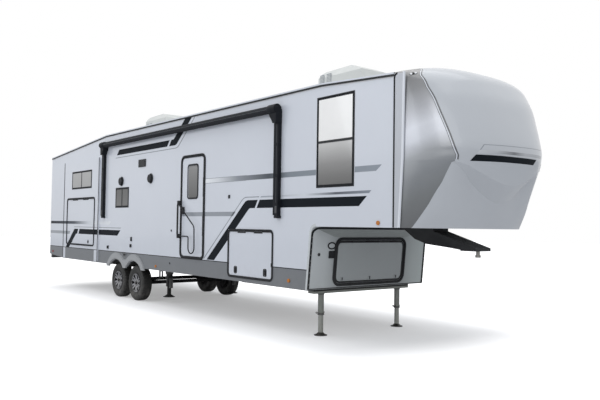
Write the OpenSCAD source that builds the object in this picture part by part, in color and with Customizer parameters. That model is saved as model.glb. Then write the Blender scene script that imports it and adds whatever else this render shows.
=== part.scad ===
// Fifth wheel travel trailer with two axles, two slide-out rooms and a pass-through bay.
// X runs forward, Y to the side away from the entry door, Z up from the ground.
// Stations along the trailer are measured back from the kingpin.

/* [Body] */
// Width over the side walls
body_w = 2440; // [2360:10:2540]
// Distance of the kingpin ahead of the model's origin
kingpin_ahead = 6180; // [6000:10:6400]
// From the kingpin back to the rear wall's outer face
rear_back = 12990; // [12800:10:13300]
// From the kingpin back to the seam between side walls and nose cap
seam_back = 350; // [300:5:420]
// From the kingpin back to the foot of the bulkhead
bulkhead_back = 2020; // [2000:5:2060]
// How far the bulkhead's head stands ahead of its foot
bulkhead_lean = 90; // [60:5:110]
// Radius between the bulkhead and the overhang's underside
bulkhead_r = 100; // [70:5:130]
// Thickness of the bulkhead moulding
bulkhead_t = 40; // [25:1:45]
// Thickness of the side, front and rear walls
wall_t = 50; // [40:1:55]
// Height of the walls' lower edge over the ground
wall_low = 979; // [960:1:1000]
// Height of the overhang's underside over the ground
deck_low = 1600; // [1570:5:1640]
// Thickness of the bedroom deck
deck_t = 80; // [60:1:85]

/* [Skirt and floor] */
// Height of the skirt's lower edge over the ground
skirt_low = 692; // [670:1:700]
// Thickness of the skirt panels
skirt_t = 30; // [15:1:35]
// Rise of the skirt's lower edge at its rear end
skirt_kick = 70; // [30:5:90]
// From the kingpin back to where the skirt starts to rise
kick_back = 11950; // [11700:10:12300]
// Thickness of the main floor
floor_t = 90; // [70:1:95]
// From the kingpin back to the rear partition of the pass-through bay
bay_back = 4200; // [4150:5:4220]
// Thickness of the bay's floor and partition
bay_t = 40; // [20:1:45]
// Height of the bay floor's upper face over the ground
bay_floor = 740; // [735:1:745]

/* [Roof] */
// Height of the eave along the level middle
eave_h = 3610; // [3560:5:3660]
// Height of the eave at the rear wall
eave_rear_h = 3335; // [3300:5:3400]
// Height of the eave at the nose seam
eave_nose_h = 3530; // [3500:5:3560]
// From the kingpin back to where the eave starts to fall to the rear
slope_rear_back = 9310; // [9250:10:9500]
// From the kingpin back to where the eave starts to fall to the nose
slope_nose_back = 1750; // [1600:10:1760]
// Rise of the roof's middle over the eave
roof_crown = 110; // [80:5:130]
// Thickness of the roof at the eave
roof_edge_t = 60; // [40:1:80]
// Height of the eave rail
rail_h = 46; // [30:1:60]
// How far the eave rail stands out of the wall
rail_out = 14; // [8:1:20]

/* [Nose cap] */
// How much higher the middle of the cap is than its edges at the seam
cap_crown = 155; // [120:5:170]
// Bluntness of the cap seen from above: 2 is an ellipse, more is squarer
cap_bluntness = 2.75; // [2.4:0.05:3]
// Thickness of the nose cap
cap_t = 40; // [20:1:50]
// Angle from the nose at which the recess starts to fade out
wing_from = 20; // [15:1:25]
// Angle from the nose at which the side wing is full
wing_to = 54; // [50:1:60]
// Width of the pale flange that covers the seam
flange_w = 150; // [100:5:190]
// How far the seam flange stands out of the cap
flange_out = 8; // [4:1:14]

/* [Wheels and axles] */
// From the kingpin back to the front axle
axle_back = 7730; // [7700:5:7760]
// Distance between the two axles
axle_gap = 880; // [860:5:900]
// Outer diameter of the tyres
tyre_d = 730; // [700:5:740]
// Width of the tyres
tyre_w = 220; // [200:1:225]
// Diameter of the rim where the tyre sits
rim_d = 406; // [390:1:420]
// Distance of a tyre's middle from the centre line
track_half = 1070; // [1060:1:1072]
// Number of spoke pairs in a rim
spokes = 6; // [4:1:8]
// Diameter of the axle tubes
axle_d = 76; // [60:1:80]
// Diameter of the wheel spindles
spindle_d = 44; // [36:1:50]
// Diameter of the brake drums
drum_d = 305; // [280:1:320]
// Length of a leaf spring between its eyes
spring_l = 660; // [640:5:680]
// Number of leaves in a spring
leaves = 4; // [3:1:5]
// Width of a leaf
leaf_w = 45; // [40:1:55]
// Radius of the fender's wheel openings
arch_r = 455; // [430:1:460]
// Width of the fender's band around a wheel opening
arch_band = 145; // [110:1:150]
// How far the fender stands out of the skirt
fender_out = 26; // [16:1:34]

/* [Frame] */
// Distance of a frame rail from the centre line
rail_y = 760; // [740:5:780]
// Depth of the main frame rails
beam_h = 250; // [240:1:250]
// Width of the main rails' flanges
beam_w = 100; // [80:1:110]
// Thickness of the main rails' flanges and web
beam_t = 10; // [7:1:14]
// Depth of the lower rails under the bay
sill_h = 80; // [70:1:90]
// Width of the lower rails under the bay
sill_w = 60; // [50:1:80]
// Size of the square rear bumper tube
bumper_s = 100; // [90:1:110]
// Length of the rear bumper
bumper_l = 2300; // [2200:10:2400]

/* [Pin box] */
// Height of the coupling plate over the ground
plate_h = 1310; // [1290:1:1330]
// Width of the pin box
pinbox_w = 320; // [300:5:340]
// Thickness of the pin box's steel
pinbox_t = 12; // [8:1:16]
// Diameter of the kingpin's neck
neck_d = 50.8; // [50:0.1:51]
// Diameter of the kingpin's lower flange
pin_d = 71.4; // [70:0.1:72]
// Length of the kingpin under the coupling plate
pin_l = 84; // [80:1:90]

/* [Legs and jacks] */
// From the kingpin back to the landing legs
leg_back = 2190; // [2180:1:2195]
// Distance of a landing leg from the centre line
leg_y = 808; // [800:1:830]
// Diameter of the landing legs
leg_d = 89; // [80:1:95]
// Diameter of the landing feet
foot_d = 190; // [160:5:220]
// From the kingpin back to the stabilizer jacks
jack_back = 7030; // [7000:5:7050]
// Height of the stabilizer feet over the ground
jack_low = 118; // [90:1:150]
// Width of the stabilizer jacks' square tube
jack_w = 120; // [90:1:130]

/* [Hatches and entry door] */
// Clearance round each door leaf in its opening
leaf_gap = 6; // [5:0.5:8]
// Thickness of the hatch leaves
leaf_t = 34; // [25:1:38]
// Width of the hatch trim rings
ring_w = 22; // [18:1:28]
// How far the trim rings stand out of the wall
ring_out = 5; // [3:0.5:6]
// Radius of the hinge knuckles
knuckle_r = 6; // [5:0.5:6]
// Distance of a hinge axis from the wall's outer face
hinge_out = 7; // [7:0.5:9]
// From the kingpin back to the pass-through hatch's rear edge
pass_back = 4102; // [4100:1:4110]
// Height of the pass-through hatch's lower edge
pass_low = 757; // [750:1:760]
// Length of the pass-through hatch over its ring
pass_l = 1252; // [1200:1:1260]
// Height of the pass-through hatch over its ring
pass_h = 774; // [740:1:780]
// Length of the bulkhead hatch over its ring
front_l = 1420; // [1300:5:1450]
// Height of the bulkhead hatch over its ring
front_h = 634; // [600:1:640]
// Distance up the bulkhead from its foot to the hatch
front_up = 78; // [70:1:90]
// From the kingpin back to the entry door's rear edge
entry_back = 5758; // [5740:1:5780]
// Height of the entry door frame's lower edge
entry_low = 984; // [983:1:990]
// Width of the entry door over its frame
entry_w = 861; // [840:1:880]
// Height of the entry door over its frame
entry_h = 1876; // [1840:1:1890]
// Width of the entry door's frame
entry_ring = 38; // [34:1:40]
// Width of the entry door's window
entry_win_w = 394; // [360:1:420]
// Height of the entry door's window
entry_win_h = 640; // [600:1:680]
// Height of the entry door window's lower edge
entry_win_low = 2060; // [2040:1:2080]
// Height of the folded grab handle's upper bracket
grab_high = 2000; // [1960:1:2040]
// Height of the folded grab handle's lower bracket
grab_low = 1385; // [1360:1:1400]
// Diameter of the grab handle's tube
grab_d = 22; // [18:1:25]
// Distance of the grab handle from the door
grab_out = 60; // [50:1:70]

/* [Windows] */
// Width of the window frames
frame_w = 30; // [22:1:36]
// How far the window frames stand out of the wall
frame_out = 8; // [5:1:12]
// Thickness of the window glass
glass_t = 6; // [4:1:8]
// Radius of the windows' corners
window_r = 70; // [40:1:80]

/* [Slide-out rooms] */
// From the kingpin back to the bunk room's rear edge
bunk_back = 11930; // [11900:5:11940]
// Length of the bunk room over its flange
bunk_l = 2280; // [2260:5:2300]
// Height of the bunk room flange's lower edge
bunk_low = 710; // [705:1:720]
// Height of the bunk room flange's upper edge
bunk_high = 3120; // [3080:5:3160]
// Depth of the bunk room
bunk_deep = 650; // [600:5:680]
// Height of the shelf over the outside kitchen
bunk_shelf = 2280; // [2270:5:2310]
// From the kingpin back to the main room's rear edge
main_back = 8130; // [8100:5:8160]
// Length of the main room over its flange
main_l = 3880; // [3800:10:3890]
// Height of the main room flange's upper edge
main_high = 3080; // [3000:5:3120]
// Depth of the main room
main_deep = 950; // [900:5:970]
// Thickness of the rooms' walls, floor and roof
room_t = 32; // [25:1:38]
// Width of the rooms' outer flange past the wall opening
room_flange = 34; // [28:1:40]
// Clearance between a room and the wall opening
room_gap = 6; // [5:0.5:8]
// Thickness of a room's outer face
face_t = 26; // [20:1:30]
// From the kingpin back to the kitchen hatch's rear edge
kitchen_back = 11672; // [11665:1:11680]
// Height of the kitchen hatch's lower edge
kitchen_low = 1062; // [1055:1:1070]
// Length of the kitchen hatch over its ring
kitchen_l = 1800; // [1780:1:1810]
// Height of the kitchen hatch over its ring
kitchen_h = 1140; // [1120:1:1150]

/* [Awning and roof units] */
// From the kingpin back to the rear awning arm
awning_rear_back = 9350; // [9320:5:9380]
// From the kingpin back to the front awning arm
awning_front_back = 2710; // [2700:5:2740]
// Height of the awning roller's axis
awning_h = 3365; // [3340:5:3380]
// Radius of the rolled awning
awning_r = 60; // [45:1:65]
// Distance of the roller's axis from the wall
awning_out = 84; // [78:1:90]
// Width of an awning arm
arm_w = 78; // [60:1:90]
// Depth of an awning arm
arm_deep = 62; // [50:1:70]
// Height of the awning arms' lower ends
arm_low = 1716; // [1690:1:1740]
// Length of an air conditioner
ac_l = 1040; // [960:10:1060]
// Width of an air conditioner
ac_w = 700; // [640:10:740]
// Height of an air conditioner over the roof's middle
ac_h = 385; // [360:5:400]
// From the kingpin back to the front air conditioner's middle
ac_front_back = 2340; // [2290:5:2400]
// From the kingpin back to the rear air conditioner's middle
ac_rear_back = 8620; // [8580:5:8760]

/* [Hidden] */
$fn = 48;

half = body_w / 2;
// Gap between pieces of one body that rest on each other along a slope or a curve
seat = 0.3;
// Clearance of a joint's running faces
run = 0.3;
wheel_h = tyre_d / 2;
bulkhead_angle = atan(bulkhead_lean / (deck_low - skirt_low));
fillet_z = deck_low - bulkhead_r;
fillet_x = bulkhead_x(fillet_z) + bulkhead_r;
floor_low = wall_low - floor_t;
beam_low = floor_low - beam_h;
sill_low = bay_floor - bay_t - sill_h;
wall_top_drop = roof_edge_t + seat;
hinge_room = 8;
knuckles = 5;
roof_r = (half * half + roof_crown * roof_crown) / (2 * roof_crown);
room_floor = wall_low + room_gap;
main_low = wall_low - 8;
far_below = 0;

// Eave runs: back to start, height there, back to end, height there
eave_runs = [
    [rear_back, eave_rear_h, slope_rear_back, eave_h],
    [slope_rear_back, eave_h, slope_nose_back, eave_h],
    [slope_nose_back, eave_h, seam_back, eave_nose_h]];

// Nose cap sections from the chin up: height over the deck's underside at the seam and at the nose,
// reach ahead of the seam at the nose and at the side wing. The brow's lip is the sixth
cap_rows = [
    [0, 0, 520, 455], [200, 90, 560, 600], [440, 180, 602, 720], [650, 255, 637, 832], [800, 320, 670, 905],
    [815, 537, 843, 915], [865, 700, 880, 925], [925, 869, 929, 929], [1015, 1010, 937, 937],
    [1190, 1190, 893, 893], [1370, 1370, 835, 835], [1545, 1545, 770, 770], [1680, 1680, 680, 680],
    [1770, 1770, 606, 606], [1830, 1830, 520, 520], [1870, 1870, 425, 425], [1902, 1902, 310, 310],
    [1920, 1920, 195, 195], [1930, 1930, 0, 0]];
cap_steps = 24;

// Windows of the fixed walls: back to rear edge, low edge, length, height, 1 for a middle bar that stands,
// 2 for one that lies, 0 for none
door_windows = [[1840, 2140, 775, 1275, 2], [8742, 1941, 682, 439, 1]];
off_windows = [[1840, 2140, 775, 1275, 2], [11356, 2300, 1256, 500, 1]];
bunk_windows = [[11371, 2427, 1286, 437, 1]];
main_windows = [[7600, 1900, 1300, 620, 1], [5700, 1900, 1300, 620, 1]];

wall_grey = "#d3d7dc";
skirt_grey = "#6d7278";
black = "#17181a";
pale = "#c9cdcf";

// Helpers

function bulkhead_x(z) = -bulkhead_back + bulkhead_lean * (z - skirt_low) / (deck_low - skirt_low);
function eave_z(back) = let (run = back > slope_rear_back ? eave_runs[0] : back > slope_nose_back
    ? eave_runs[1] : eave_runs[2]) run[1] + (run[3] - run[1]) * (run[0] - back) / (run[0] - run[2]);

module from_kingpin() translate([kingpin_ahead, 0, 0]) children();

// A side view outline, X and Z, as a plate from y to y + t
module plate(y, t) translate([0, y + t, 0]) rotate([90, 0, 0]) linear_extrude(t) children();

// A cross section, Y and Z, run along X from x for length l
module run_x(x, l) translate([x, 0, 0]) rotate([90, 0, 90]) linear_extrude(l) children();

// Draws its children and their mirror image on the other side
module both_sides() {
    children();
    mirror([0, 1, 0]) children();
}

module rounded(l, h, r) {
    translate([r, 0]) square([l - 2 * r, h]);
    translate([0, r]) square([l, h - 2 * r]);
    for (x = [r, l - r], y = [r, h - r]) translate([x, y]) circle(r);
}

// Side view of the open space ahead of the bulkhead, set back by t
module front_space(t) {
    polygon([[bulkhead_x(far_below) - t, far_below], [bulkhead_x(fillet_z) - t, fillet_z + 2],
        [fillet_x, fillet_z + 2], [fillet_x, far_below]]);
    intersection() {
        translate([fillet_x, fillet_z]) circle(bulkhead_r + t);
        translate([fillet_x - bulkhead_r - t, fillet_z]) square(bulkhead_r + t);
    }
    translate([fillet_x, far_below]) square([3000, deck_low - far_below]);
}

// Hatches stand in their own frame: X along the wall, Z up, outward is -Y, origin at the ring's lower corner

module hatch_hole(l, h, w, r, deep) translate([w, deep, w]) rotate([90, 0, 0])
    linear_extrude(deep + 20) rounded(l - 2 * w, h - 2 * w - hinge_room, r);

module hinge_knuckles(l, h, w, odd) {
    step = (l - 4 * w) / knuckles;
    for (i = [0 : knuckles - 1]) if ((i % 2 == 1) == odd)
        translate([2 * w + i * step + run / 2, 0, h - w - hinge_room]) {
            translate([0, -hinge_out, 0]) rotate([0, 90, 0]) cylinder(r = knuckle_r, h = step - run);
            translate([0, -ring_out, odd ? -24 : 1]) cube([step - run, ring_out, 23]);
        }
}

module hatch_ring(l, h, w, r) {
    translate([0, 0, 0]) rotate([90, 0, 0]) linear_extrude(ring_out) difference() {
        rounded(l, h, r + w);
        translate([w, w]) rounded(l - 2 * w, h - 2 * w, r);
    }
    hinge_knuckles(l, h, w, false);
}

module hatch_leaf(l, h, w, r, t) {
    translate([w + leaf_gap, t, w + leaf_gap]) rotate([90, 0, 0]) linear_extrude(t)
        rounded(l - 2 * w - 2 * leaf_gap, h - 2 * w - hinge_room - 2 * leaf_gap, r - leaf_gap);
    hinge_knuckles(l, h, w, true);
}

// Round slam latch with a paddle, on a leaf's outer face
module latch(x, z) translate([x, 0, z]) rotate([90, 0, 0]) {
    cylinder(r = 30, h = 6);
    translate([-9, -22, 0]) cube([18, 44, 12]);
}

module pass_place() translate([-pass_back, -half, pass_low]) children();
module front_place() translate([bulkhead_x(skirt_low), 0, skirt_low]) rotate([0, bulkhead_angle, 0])
    translate([0, -front_l / 2, front_up]) rotate([0, 0, 90]) children();
module kitchen_place() translate([-kitchen_back, -half - room_flange_out(), kitchen_low]) children();
module entry_place() translate([-entry_back, -half, entry_low + entry_h]) rotate([0, 90, 0]) children();
function room_flange_out() = run + face_t;

// Windows in a wall's own frame, X along and Z up, outward is -Y at y = 0

module window_hole(win, y, t) plate(y, t) translate([-win[0] + frame_w, win[1] + frame_w])
    rounded(win[2] - 2 * frame_w, win[3] - 2 * frame_w, window_r - frame_w / 2);

module window_frame(win) plate(-frame_out, frame_out) difference() {
    translate([-win[0], win[1]]) rounded(win[2], win[3], window_r);
    difference() {
        translate([-win[0] + frame_w, win[1] + frame_w])
            rounded(win[2] - 2 * frame_w, win[3] - 2 * frame_w, window_r - frame_w / 2);
        if (win[4] == 1) translate([-win[0] + win[2] / 2 - frame_w / 4, win[1]]) square([frame_w / 2, win[3]]);
        if (win[4] == 2) translate([-win[0], win[1] + win[3] / 2 - frame_w / 4]) square([win[2], frame_w / 2]);
    }
}

module window_pane(win) plate(seat, glass_t) translate([-win[0] + frame_w + seat, win[1] + frame_w + seat])
    rounded(win[2] - 2 * frame_w - 2 * seat, win[3] - 2 * frame_w - 2 * seat, window_r - frame_w / 2);

// Frame

module beam_section() translate([rail_y, beam_low]) {
    translate([-beam_w / 2, 0]) square([beam_w, beam_t]);
    translate([-beam_w / 2, beam_h - beam_t]) square([beam_w, beam_t]);
    translate([-beam_t / 2, 0]) square([beam_t, beam_h]);
}

module spring_hangers() for (back = [axle_back - spring_l / 2, axle_back + axle_gap / 2,
    axle_back + axle_gap + spring_l / 2])
    translate([-back - 24, rail_y - leaf_w / 2 - 12, eye_h - 26]) difference() {
        cube([48, leaf_w + 24, beam_low - eye_h + 26]);
        translate([-1, 12 - seat, -1]) cube([50, leaf_w + 2 * seat, beam_low - eye_h + 1]);
    }

module frame_rails() color(black) from_kingpin() both_sides() {
    run_x(-rear_back + wall_t + seat, rear_back - wall_t - bay_back - seat) beam_section();
    translate([-bay_back - 120, rail_y - sill_w / 2, sill_low])
        cube([bay_back + 120 - leg_back - 75, sill_w, sill_h]);
    spring_hangers();
}

module pin_box() color(black) from_kingpin() {
    side = [[-1180, deck_low], [-950, 1447], [-740, 1383], [-340, 1345], [-150, plate_h + pinbox_t],
        [80, plate_h + pinbox_t], [80, 1350], [-620, 1560], [-620, deck_low]];
    difference() {
        plate(-pinbox_w / 2, pinbox_w) polygon(side);
        plate(-pinbox_w / 2 + pinbox_t, pinbox_w - 2 * pinbox_t) pin_box_inside();
    }
    difference() {
        translate([-160, -pinbox_w / 2, plate_h]) cube([240, pinbox_w, pinbox_t]);
        translate([0, 0, plate_h - 1]) cylinder(d = neck_d + 2 * run, h = pinbox_t);
    }
}

// Inner outline of the pin box, open underneath behind the coupling plate
module pin_box_inside() polygon([[-1140, deck_low - 14], [-930, 1452], [-740, 1396], [-720, 1300], [-190, 1260],
    [-190, plate_h + 3 * pinbox_t], [30, plate_h + 3 * pinbox_t], [-634, 1548], [-634, deck_low - 14]]);

module kingpin() color("#5a5a58") from_kingpin() translate([0, 0, plate_h - pin_l]) {
    cylinder(d = pin_d, h = 33);
    cylinder(d = neck_d, h = pin_l + pinbox_t - 1);
}

module underbelly() color("#1d1e20") from_kingpin() {
    inner = rail_y - beam_w / 2 + 30;
    translate([-rear_back + wall_t + 10, -inner, beam_low + beam_t + seat])
        cube([rear_back - wall_t - bay_back - 150, 2 * inner, 8]);
    both_sides() for (span = [[rear_back - wall_t - 10, axle_back + axle_gap + arch_r + 60],
        [axle_back - arch_r - 60, bay_back + 10]])
        translate([-span[0], rail_y + beam_w / 2 + 5, skirt_low + skirt_kick + 5])
            cube([span[0] - span[1], half - skirt_t - rail_y - beam_w / 2 - 5, 8]);
}

module floor_panel() color("#8c8a84") from_kingpin() {
    translate([-rear_back + wall_t + seat, -half + skirt_t + seat, floor_low])
        cube([rear_back - wall_t - bay_back - seat, 2 * (half - skirt_t - seat), floor_t]);
    // Wear bars that carry the two rooms
    for (back = [bunk_back - 500, bunk_back - bunk_l + 500]) translate([-back - 40, -half + 4, wall_low])
        cube([80, bunk_deep - 60, room_gap - run]);
    for (back = [main_back - 800, main_back - main_l + 800]) translate([-back - 40, half - main_deep + 60, wall_low])
        cube([80, main_deep - 64, room_gap - run]);
}

module bay_liner() color("#a9a7a0") from_kingpin() {
    end = bulkhead_x(skirt_low) - bulkhead_t - 1;
    translate([-bay_back, -half + skirt_t + seat, bay_floor - bay_t])
        cube([bay_back + end, 2 * (half - skirt_t - seat), bay_t]);
    translate([-bay_back, -half + wall_t + seat, bay_floor - 1])
        cube([bay_t, 2 * (half - wall_t - seat), deck_low - bay_floor + 1]);
}

module bedroom_deck() color("#b7bab9") from_kingpin() {
    difference() {
        plate(-half + wall_t + seat, 2 * (half - wall_t - seat)) difference() {
            translate([-bay_back, deck_low]) square([bay_back - seam_back, deck_t]);
            front_space(bulkhead_t + seat);
        }
    }
    chin = cap_rows[0];
    translate([-seam_back - 1, 0, deck_low]) linear_extrude(deck_t) polygon(
        [for (j = [0 : cap_steps]) let (u = -90 + 180 * j / cap_steps)
            [1 + (cap_span(chin, u) - cap_t - 3) * cap_plan(u), (half - wall_t - seat) * sin(u)]]);
}

module bulkhead() color("#8d9391") from_kingpin() difference() {
    union() {
        plate(-half, body_w) polygon([[bulkhead_x(skirt_low) - bulkhead_t, skirt_low],
            [bulkhead_x(skirt_low), skirt_low], [bulkhead_x(fillet_z + 2), fillet_z + 2],
            [bulkhead_x(fillet_z + 2) - bulkhead_t, fillet_z + 2]]);
        plate(-half, body_w) intersection() {
            translate([fillet_x, fillet_z]) difference() {
                circle(bulkhead_r + bulkhead_t);
                circle(bulkhead_r);
            }
            translate([fillet_x - bulkhead_r - bulkhead_t, fillet_z]) square(bulkhead_r + bulkhead_t);
        }
    }
    front_place() hatch_hole(front_l, front_h, ring_w, 80, 80);
}

// Walls

module wall_outline() difference() {
    polygon([[-rear_back, wall_low], [fillet_x, wall_low], [fillet_x, deck_low], [-seam_back, deck_low],
        [-seam_back, eave_nose_h - wall_top_drop], [-slope_nose_back, eave_h - wall_top_drop],
        [-slope_rear_back, eave_h - wall_top_drop], [-rear_back, eave_rear_h - wall_top_drop]]);
    front_space(bulkhead_t + seat);
}

// Wall opening for a room: back to its flange's rear edge, flange length, flange top
module room_hole(back, l, high) translate([-back + room_flange, wall_low - 1])
    square([l - 2 * room_flange, high - room_flange - wall_low + 1]);

module side_wall_door() color(wall_grey) from_kingpin() difference() {
    plate(-half, wall_t) difference() {
        wall_outline();
        room_hole(bunk_back, bunk_l, bunk_high);
    }
    for (win = door_windows) window_hole(win, -half - 1, wall_t + 2);
    pass_place() hatch_hole(pass_l, pass_h, ring_w, 60, 60);
    entry_place() hatch_hole(entry_h, entry_w, entry_ring, 90, 60);
}

module side_wall_off() color(wall_grey) from_kingpin() mirror([0, 1, 0]) difference() {
    plate(-half, wall_t) difference() {
        wall_outline();
        room_hole(main_back, main_l, main_high);
    }
    for (win = off_windows) window_hole(win, -half - 1, wall_t + 2);
    pass_place() hatch_hole(pass_l, pass_h, ring_w, 60, 60);
}

module rear_wall() color(wall_grey) from_kingpin() {
    top = eave_rear_h - wall_top_drop;
    translate([-rear_back, -half + wall_t + seat, wall_low - 1])
        cube([wall_t, 2 * (half - wall_t - seat), top - wall_low + 1]);
    translate([-rear_back, -half + skirt_t + seat, skirt_low + skirt_kick])
        cube([wall_t, 2 * (half - skirt_t - seat), wall_low - skirt_low - skirt_kick - seat]);
}

// Roof

module roof_section() intersection() {
    translate([0, roof_crown - roof_r]) circle(roof_r, $fn = 720);
    translate([-half, -roof_edge_t]) square([body_w, roof_edge_t + roof_crown]);
}

module roof_run(run) {
    l = run[0] - run[2];
    slope = atan((run[3] - run[1]) / l);
    intersection() {
        translate([-run[0], 0, run[1]]) rotate([0, -slope, 0]) run_x(-60, l + 140) roof_section();
        translate([-run[0], -half, run[1] - 1000]) cube([l, body_w, 2000]);
    }
}

module roof_panel() color("#dfe1e2") from_kingpin() for (run = eave_runs) roof_run(run);

module eave_rails() color(black) from_kingpin() both_sides() plate(-half - rail_out, rail_out) polygon(concat(
    [for (back = [rear_back, slope_rear_back, slope_nose_back, seam_back]) [-back, eave_z(back)]],
    [for (back = [seam_back, slope_nose_back, slope_rear_back, rear_back]) [-back, eave_z(back) - rail_h]]));

// Nose cap

function ease(a) = let (c = min(1, max(0, a))) c * c * (3 - 2 * c);
function cap_plan(u) = sqrt(1 - pow(abs(sin(u)), cap_bluntness));
function cap_span(row, u) = row[2] + (row[3] - row[2]) * ease((abs(u) - wing_from) / (wing_to - wing_from));
function cap_height(row, u) = row[1] + (row[0] - row[1]) * ease(abs(u) / wing_to)
    + cap_crown * pow(row[0] / (eave_nose_h - deck_low), 4) * pow(cap_plan(u), 2);
function cap_point(row, u, inset) = [-seam_back + max(0, cap_span(row, u) - inset) * cap_plan(u),
    (half - inset) * sin(u),
    deck_low + cap_height(row, u) * (1 - inset / (eave_nose_h - deck_low))];

// A skin of the cap between two angles, t thick, standing out by grow
module cap_skin(rows, angles, grow, t) {
    n = len(rows);
    m = len(angles);
    outer = [for (row = rows, u = angles) cap_point(row, u, -grow)];
    inner = [for (row = rows, u = angles) cap_point(row, u, t - grow)];
    k = n * m;
    quads = [for (i = [0 : n - 2], j = [0 : m - 2]) [i * m + j, i * m + j + 1, (i + 1) * m + j + 1, (i + 1) * m + j]];
    skins = [for (q = quads) each [[q[0], q[2], q[3]], [q[0], q[1], q[2]],
        [k + q[0], k + q[3], k + q[2]], [k + q[0], k + q[2], k + q[1]]]];
    low = [for (j = [0 : m - 2]) each [[j, k + j + 1, j + 1], [j, k + j, k + j + 1]]];
    top = [for (j = [0 : m - 2]) let (a = (n - 1) * m + j)
        each [[a + 1, k + a, a], [a + 1, k + a + 1, k + a]]];
    left = [for (i = [0 : n - 2]) let (a = i * m, d = a + m) each [[d, k + a, a], [d, k + d, k + a]]];
    right = [for (i = [0 : n - 2]) let (b = i * m + m - 1, c = b + m) each [[b, k + c, c], [b, k + b, k + c]]];
    polyhedron(concat(outer, inner), concat(skins, low, top, left, right));
}

module nose_cap() color("#b9bfc4") from_kingpin()
    cap_skin(cap_rows, [for (j = [0 : cap_steps]) -90 + 180 * j / cap_steps], 0, cap_t);

module cap_flange() color(pale) from_kingpin() both_sides()
    plate(-half - flange_out, flange_out - seat) polygon([
        [-seam_back, deck_low], [-seam_back + flange_w * 0.55, deck_low],
        [-seam_back + flange_w * 0.9, deck_low + 0.45 * (eave_nose_h - deck_low)],
        [-seam_back + flange_w, eave_nose_h - 30], [-seam_back, eave_nose_h - 10]]);

// Skirts and fenders

module skirt_outline() difference() {
    polygon([[-rear_back, skirt_low + skirt_kick], [-kick_back, skirt_low],
        [fillet_x, skirt_low], [fillet_x, wall_low], [-rear_back, wall_low]]);
    front_space(bulkhead_t + seat);
    for (back = [axle_back, axle_back + axle_gap]) translate([-back, wheel_h])
        circle(arch_r, $fn = 180);
}

module skirts() color(skirt_grey) from_kingpin() both_sides() difference() {
    plate(-half, skirt_t - seat) skirt_outline();
    pass_place() hatch_hole(pass_l, pass_h, ring_w, 60, 60);
}

module fender_outline(grow) intersection() {
    difference() {
        union() {
            for (back = [axle_back, axle_back + axle_gap]) translate([-back, wheel_h])
                circle(arch_r + arch_band - grow, $fn = 180);
            translate([-axle_back - axle_gap, skirt_low + grow]) square([axle_gap, 140 - 2 * grow]);
        }
        for (back = [axle_back, axle_back + axle_gap]) translate([-back, wheel_h])
            circle(arch_r + grow, $fn = 180);
    }
    translate([-axle_back - axle_gap - 700, skirt_low - 40]) square([axle_gap + 1400, 600]);
}

module fenders() color("#9a9d9f") from_kingpin() both_sides() {
    plate(-half - fender_out / 2, fender_out / 2 - seat) fender_outline(0);
    plate(-half - fender_out, fender_out / 2 + 1) fender_outline(18);
}

// Running gear

eye_h = 500;
hub_r = 72;

leaf_thick = 9;
spring_r = 1400;
// Rise of a spring's eyes over its middle
eye_rise = spring_r - sqrt(spring_r * spring_r - spring_l * spring_l / 4);
saddle_h = 8;
spring_z = wheel_h + axle_d / 2 + saddle_h + seat + leaf_thick * (leaves - 1);

// Leaves lie on one another as arcs about one centre, each shorter than the one above
module leaf_spring() {
    for (i = [0 : leaves - 1]) intersection() {
        difference() {
            translate([0, spring_r]) circle(spring_r + leaf_thick * i, $fn = 360);
            translate([0, spring_r]) circle(spring_r + leaf_thick * (i - 1), $fn = 360);
        }
        translate([-spring_l / 2 * (1 - 0.2 * i), -100]) square([spring_l * (1 - 0.2 * i), 200]);
    }
    for (x = [-1, 1]) translate([x * (spring_l / 2 - 6), eye_rise + 8]) circle(r = 17);
}

// Rocker between the two springs of a side
module equalizer() polygon([[-axle_gap / 2 + spring_l / 2 - 4, eye_rise - 8], [axle_gap / 2 - spring_l / 2 + 4,
    eye_rise - 8], [axle_gap / 2 - spring_l / 2 + 4, eye_rise + 22], [40, 110], [-40, 110],
    [-axle_gap / 2 + spring_l / 2 - 4, eye_rise + 22]]);

module leaf_springs() color("#2a2a2c") from_kingpin() both_sides() {
    for (back = [axle_back, axle_back + axle_gap]) translate([-back, 0, spring_z]) {
        plate(rail_y - leaf_w / 2, leaf_w) leaf_spring();
        // Clamps on both sides of the saddle
        for (x = [-62, 50]) translate([x, rail_y - leaf_w / 2 - 1, -leaf_thick * leaves + 2])
            cube([12, leaf_w + 2, leaf_thick * leaves + 8]);
    }
    translate([-axle_back - axle_gap / 2, 0, spring_z]) plate(rail_y - leaf_w / 2, leaf_w) equalizer();
}

module axle(back) from_kingpin() translate([-back, 0, wheel_h]) both_sides() {
    translate([-45, rail_y - leaf_w / 2, 0]) cube([90, leaf_w, axle_d / 2 + saddle_h]);
    rotate([-90, 0, 0]) cylinder(d = axle_d, h = track_half - 130);
    translate([0, track_half - 131, 0]) rotate([-90, 0, 0]) cylinder(d = spindle_d, h = 171);
    translate([0, track_half - 130, 0]) rotate([-90, 0, 0]) cylinder(d = drum_d - 10, h = 8);
}

module axle_front() color("#242527") axle(axle_back);
module axle_rear() color("#242527") axle(axle_back + axle_gap);

// A wheel in its own frame: axis along Y, outboard is -Y
module wheel_place(back, side) from_kingpin() translate([-back, side * track_half, wheel_h])
    mirror([0, side > 0 ? 1 : 0, 0]) children();

module turned() rotate([90, 0, 0]) rotate_extrude($fn = 96) children();

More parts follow.
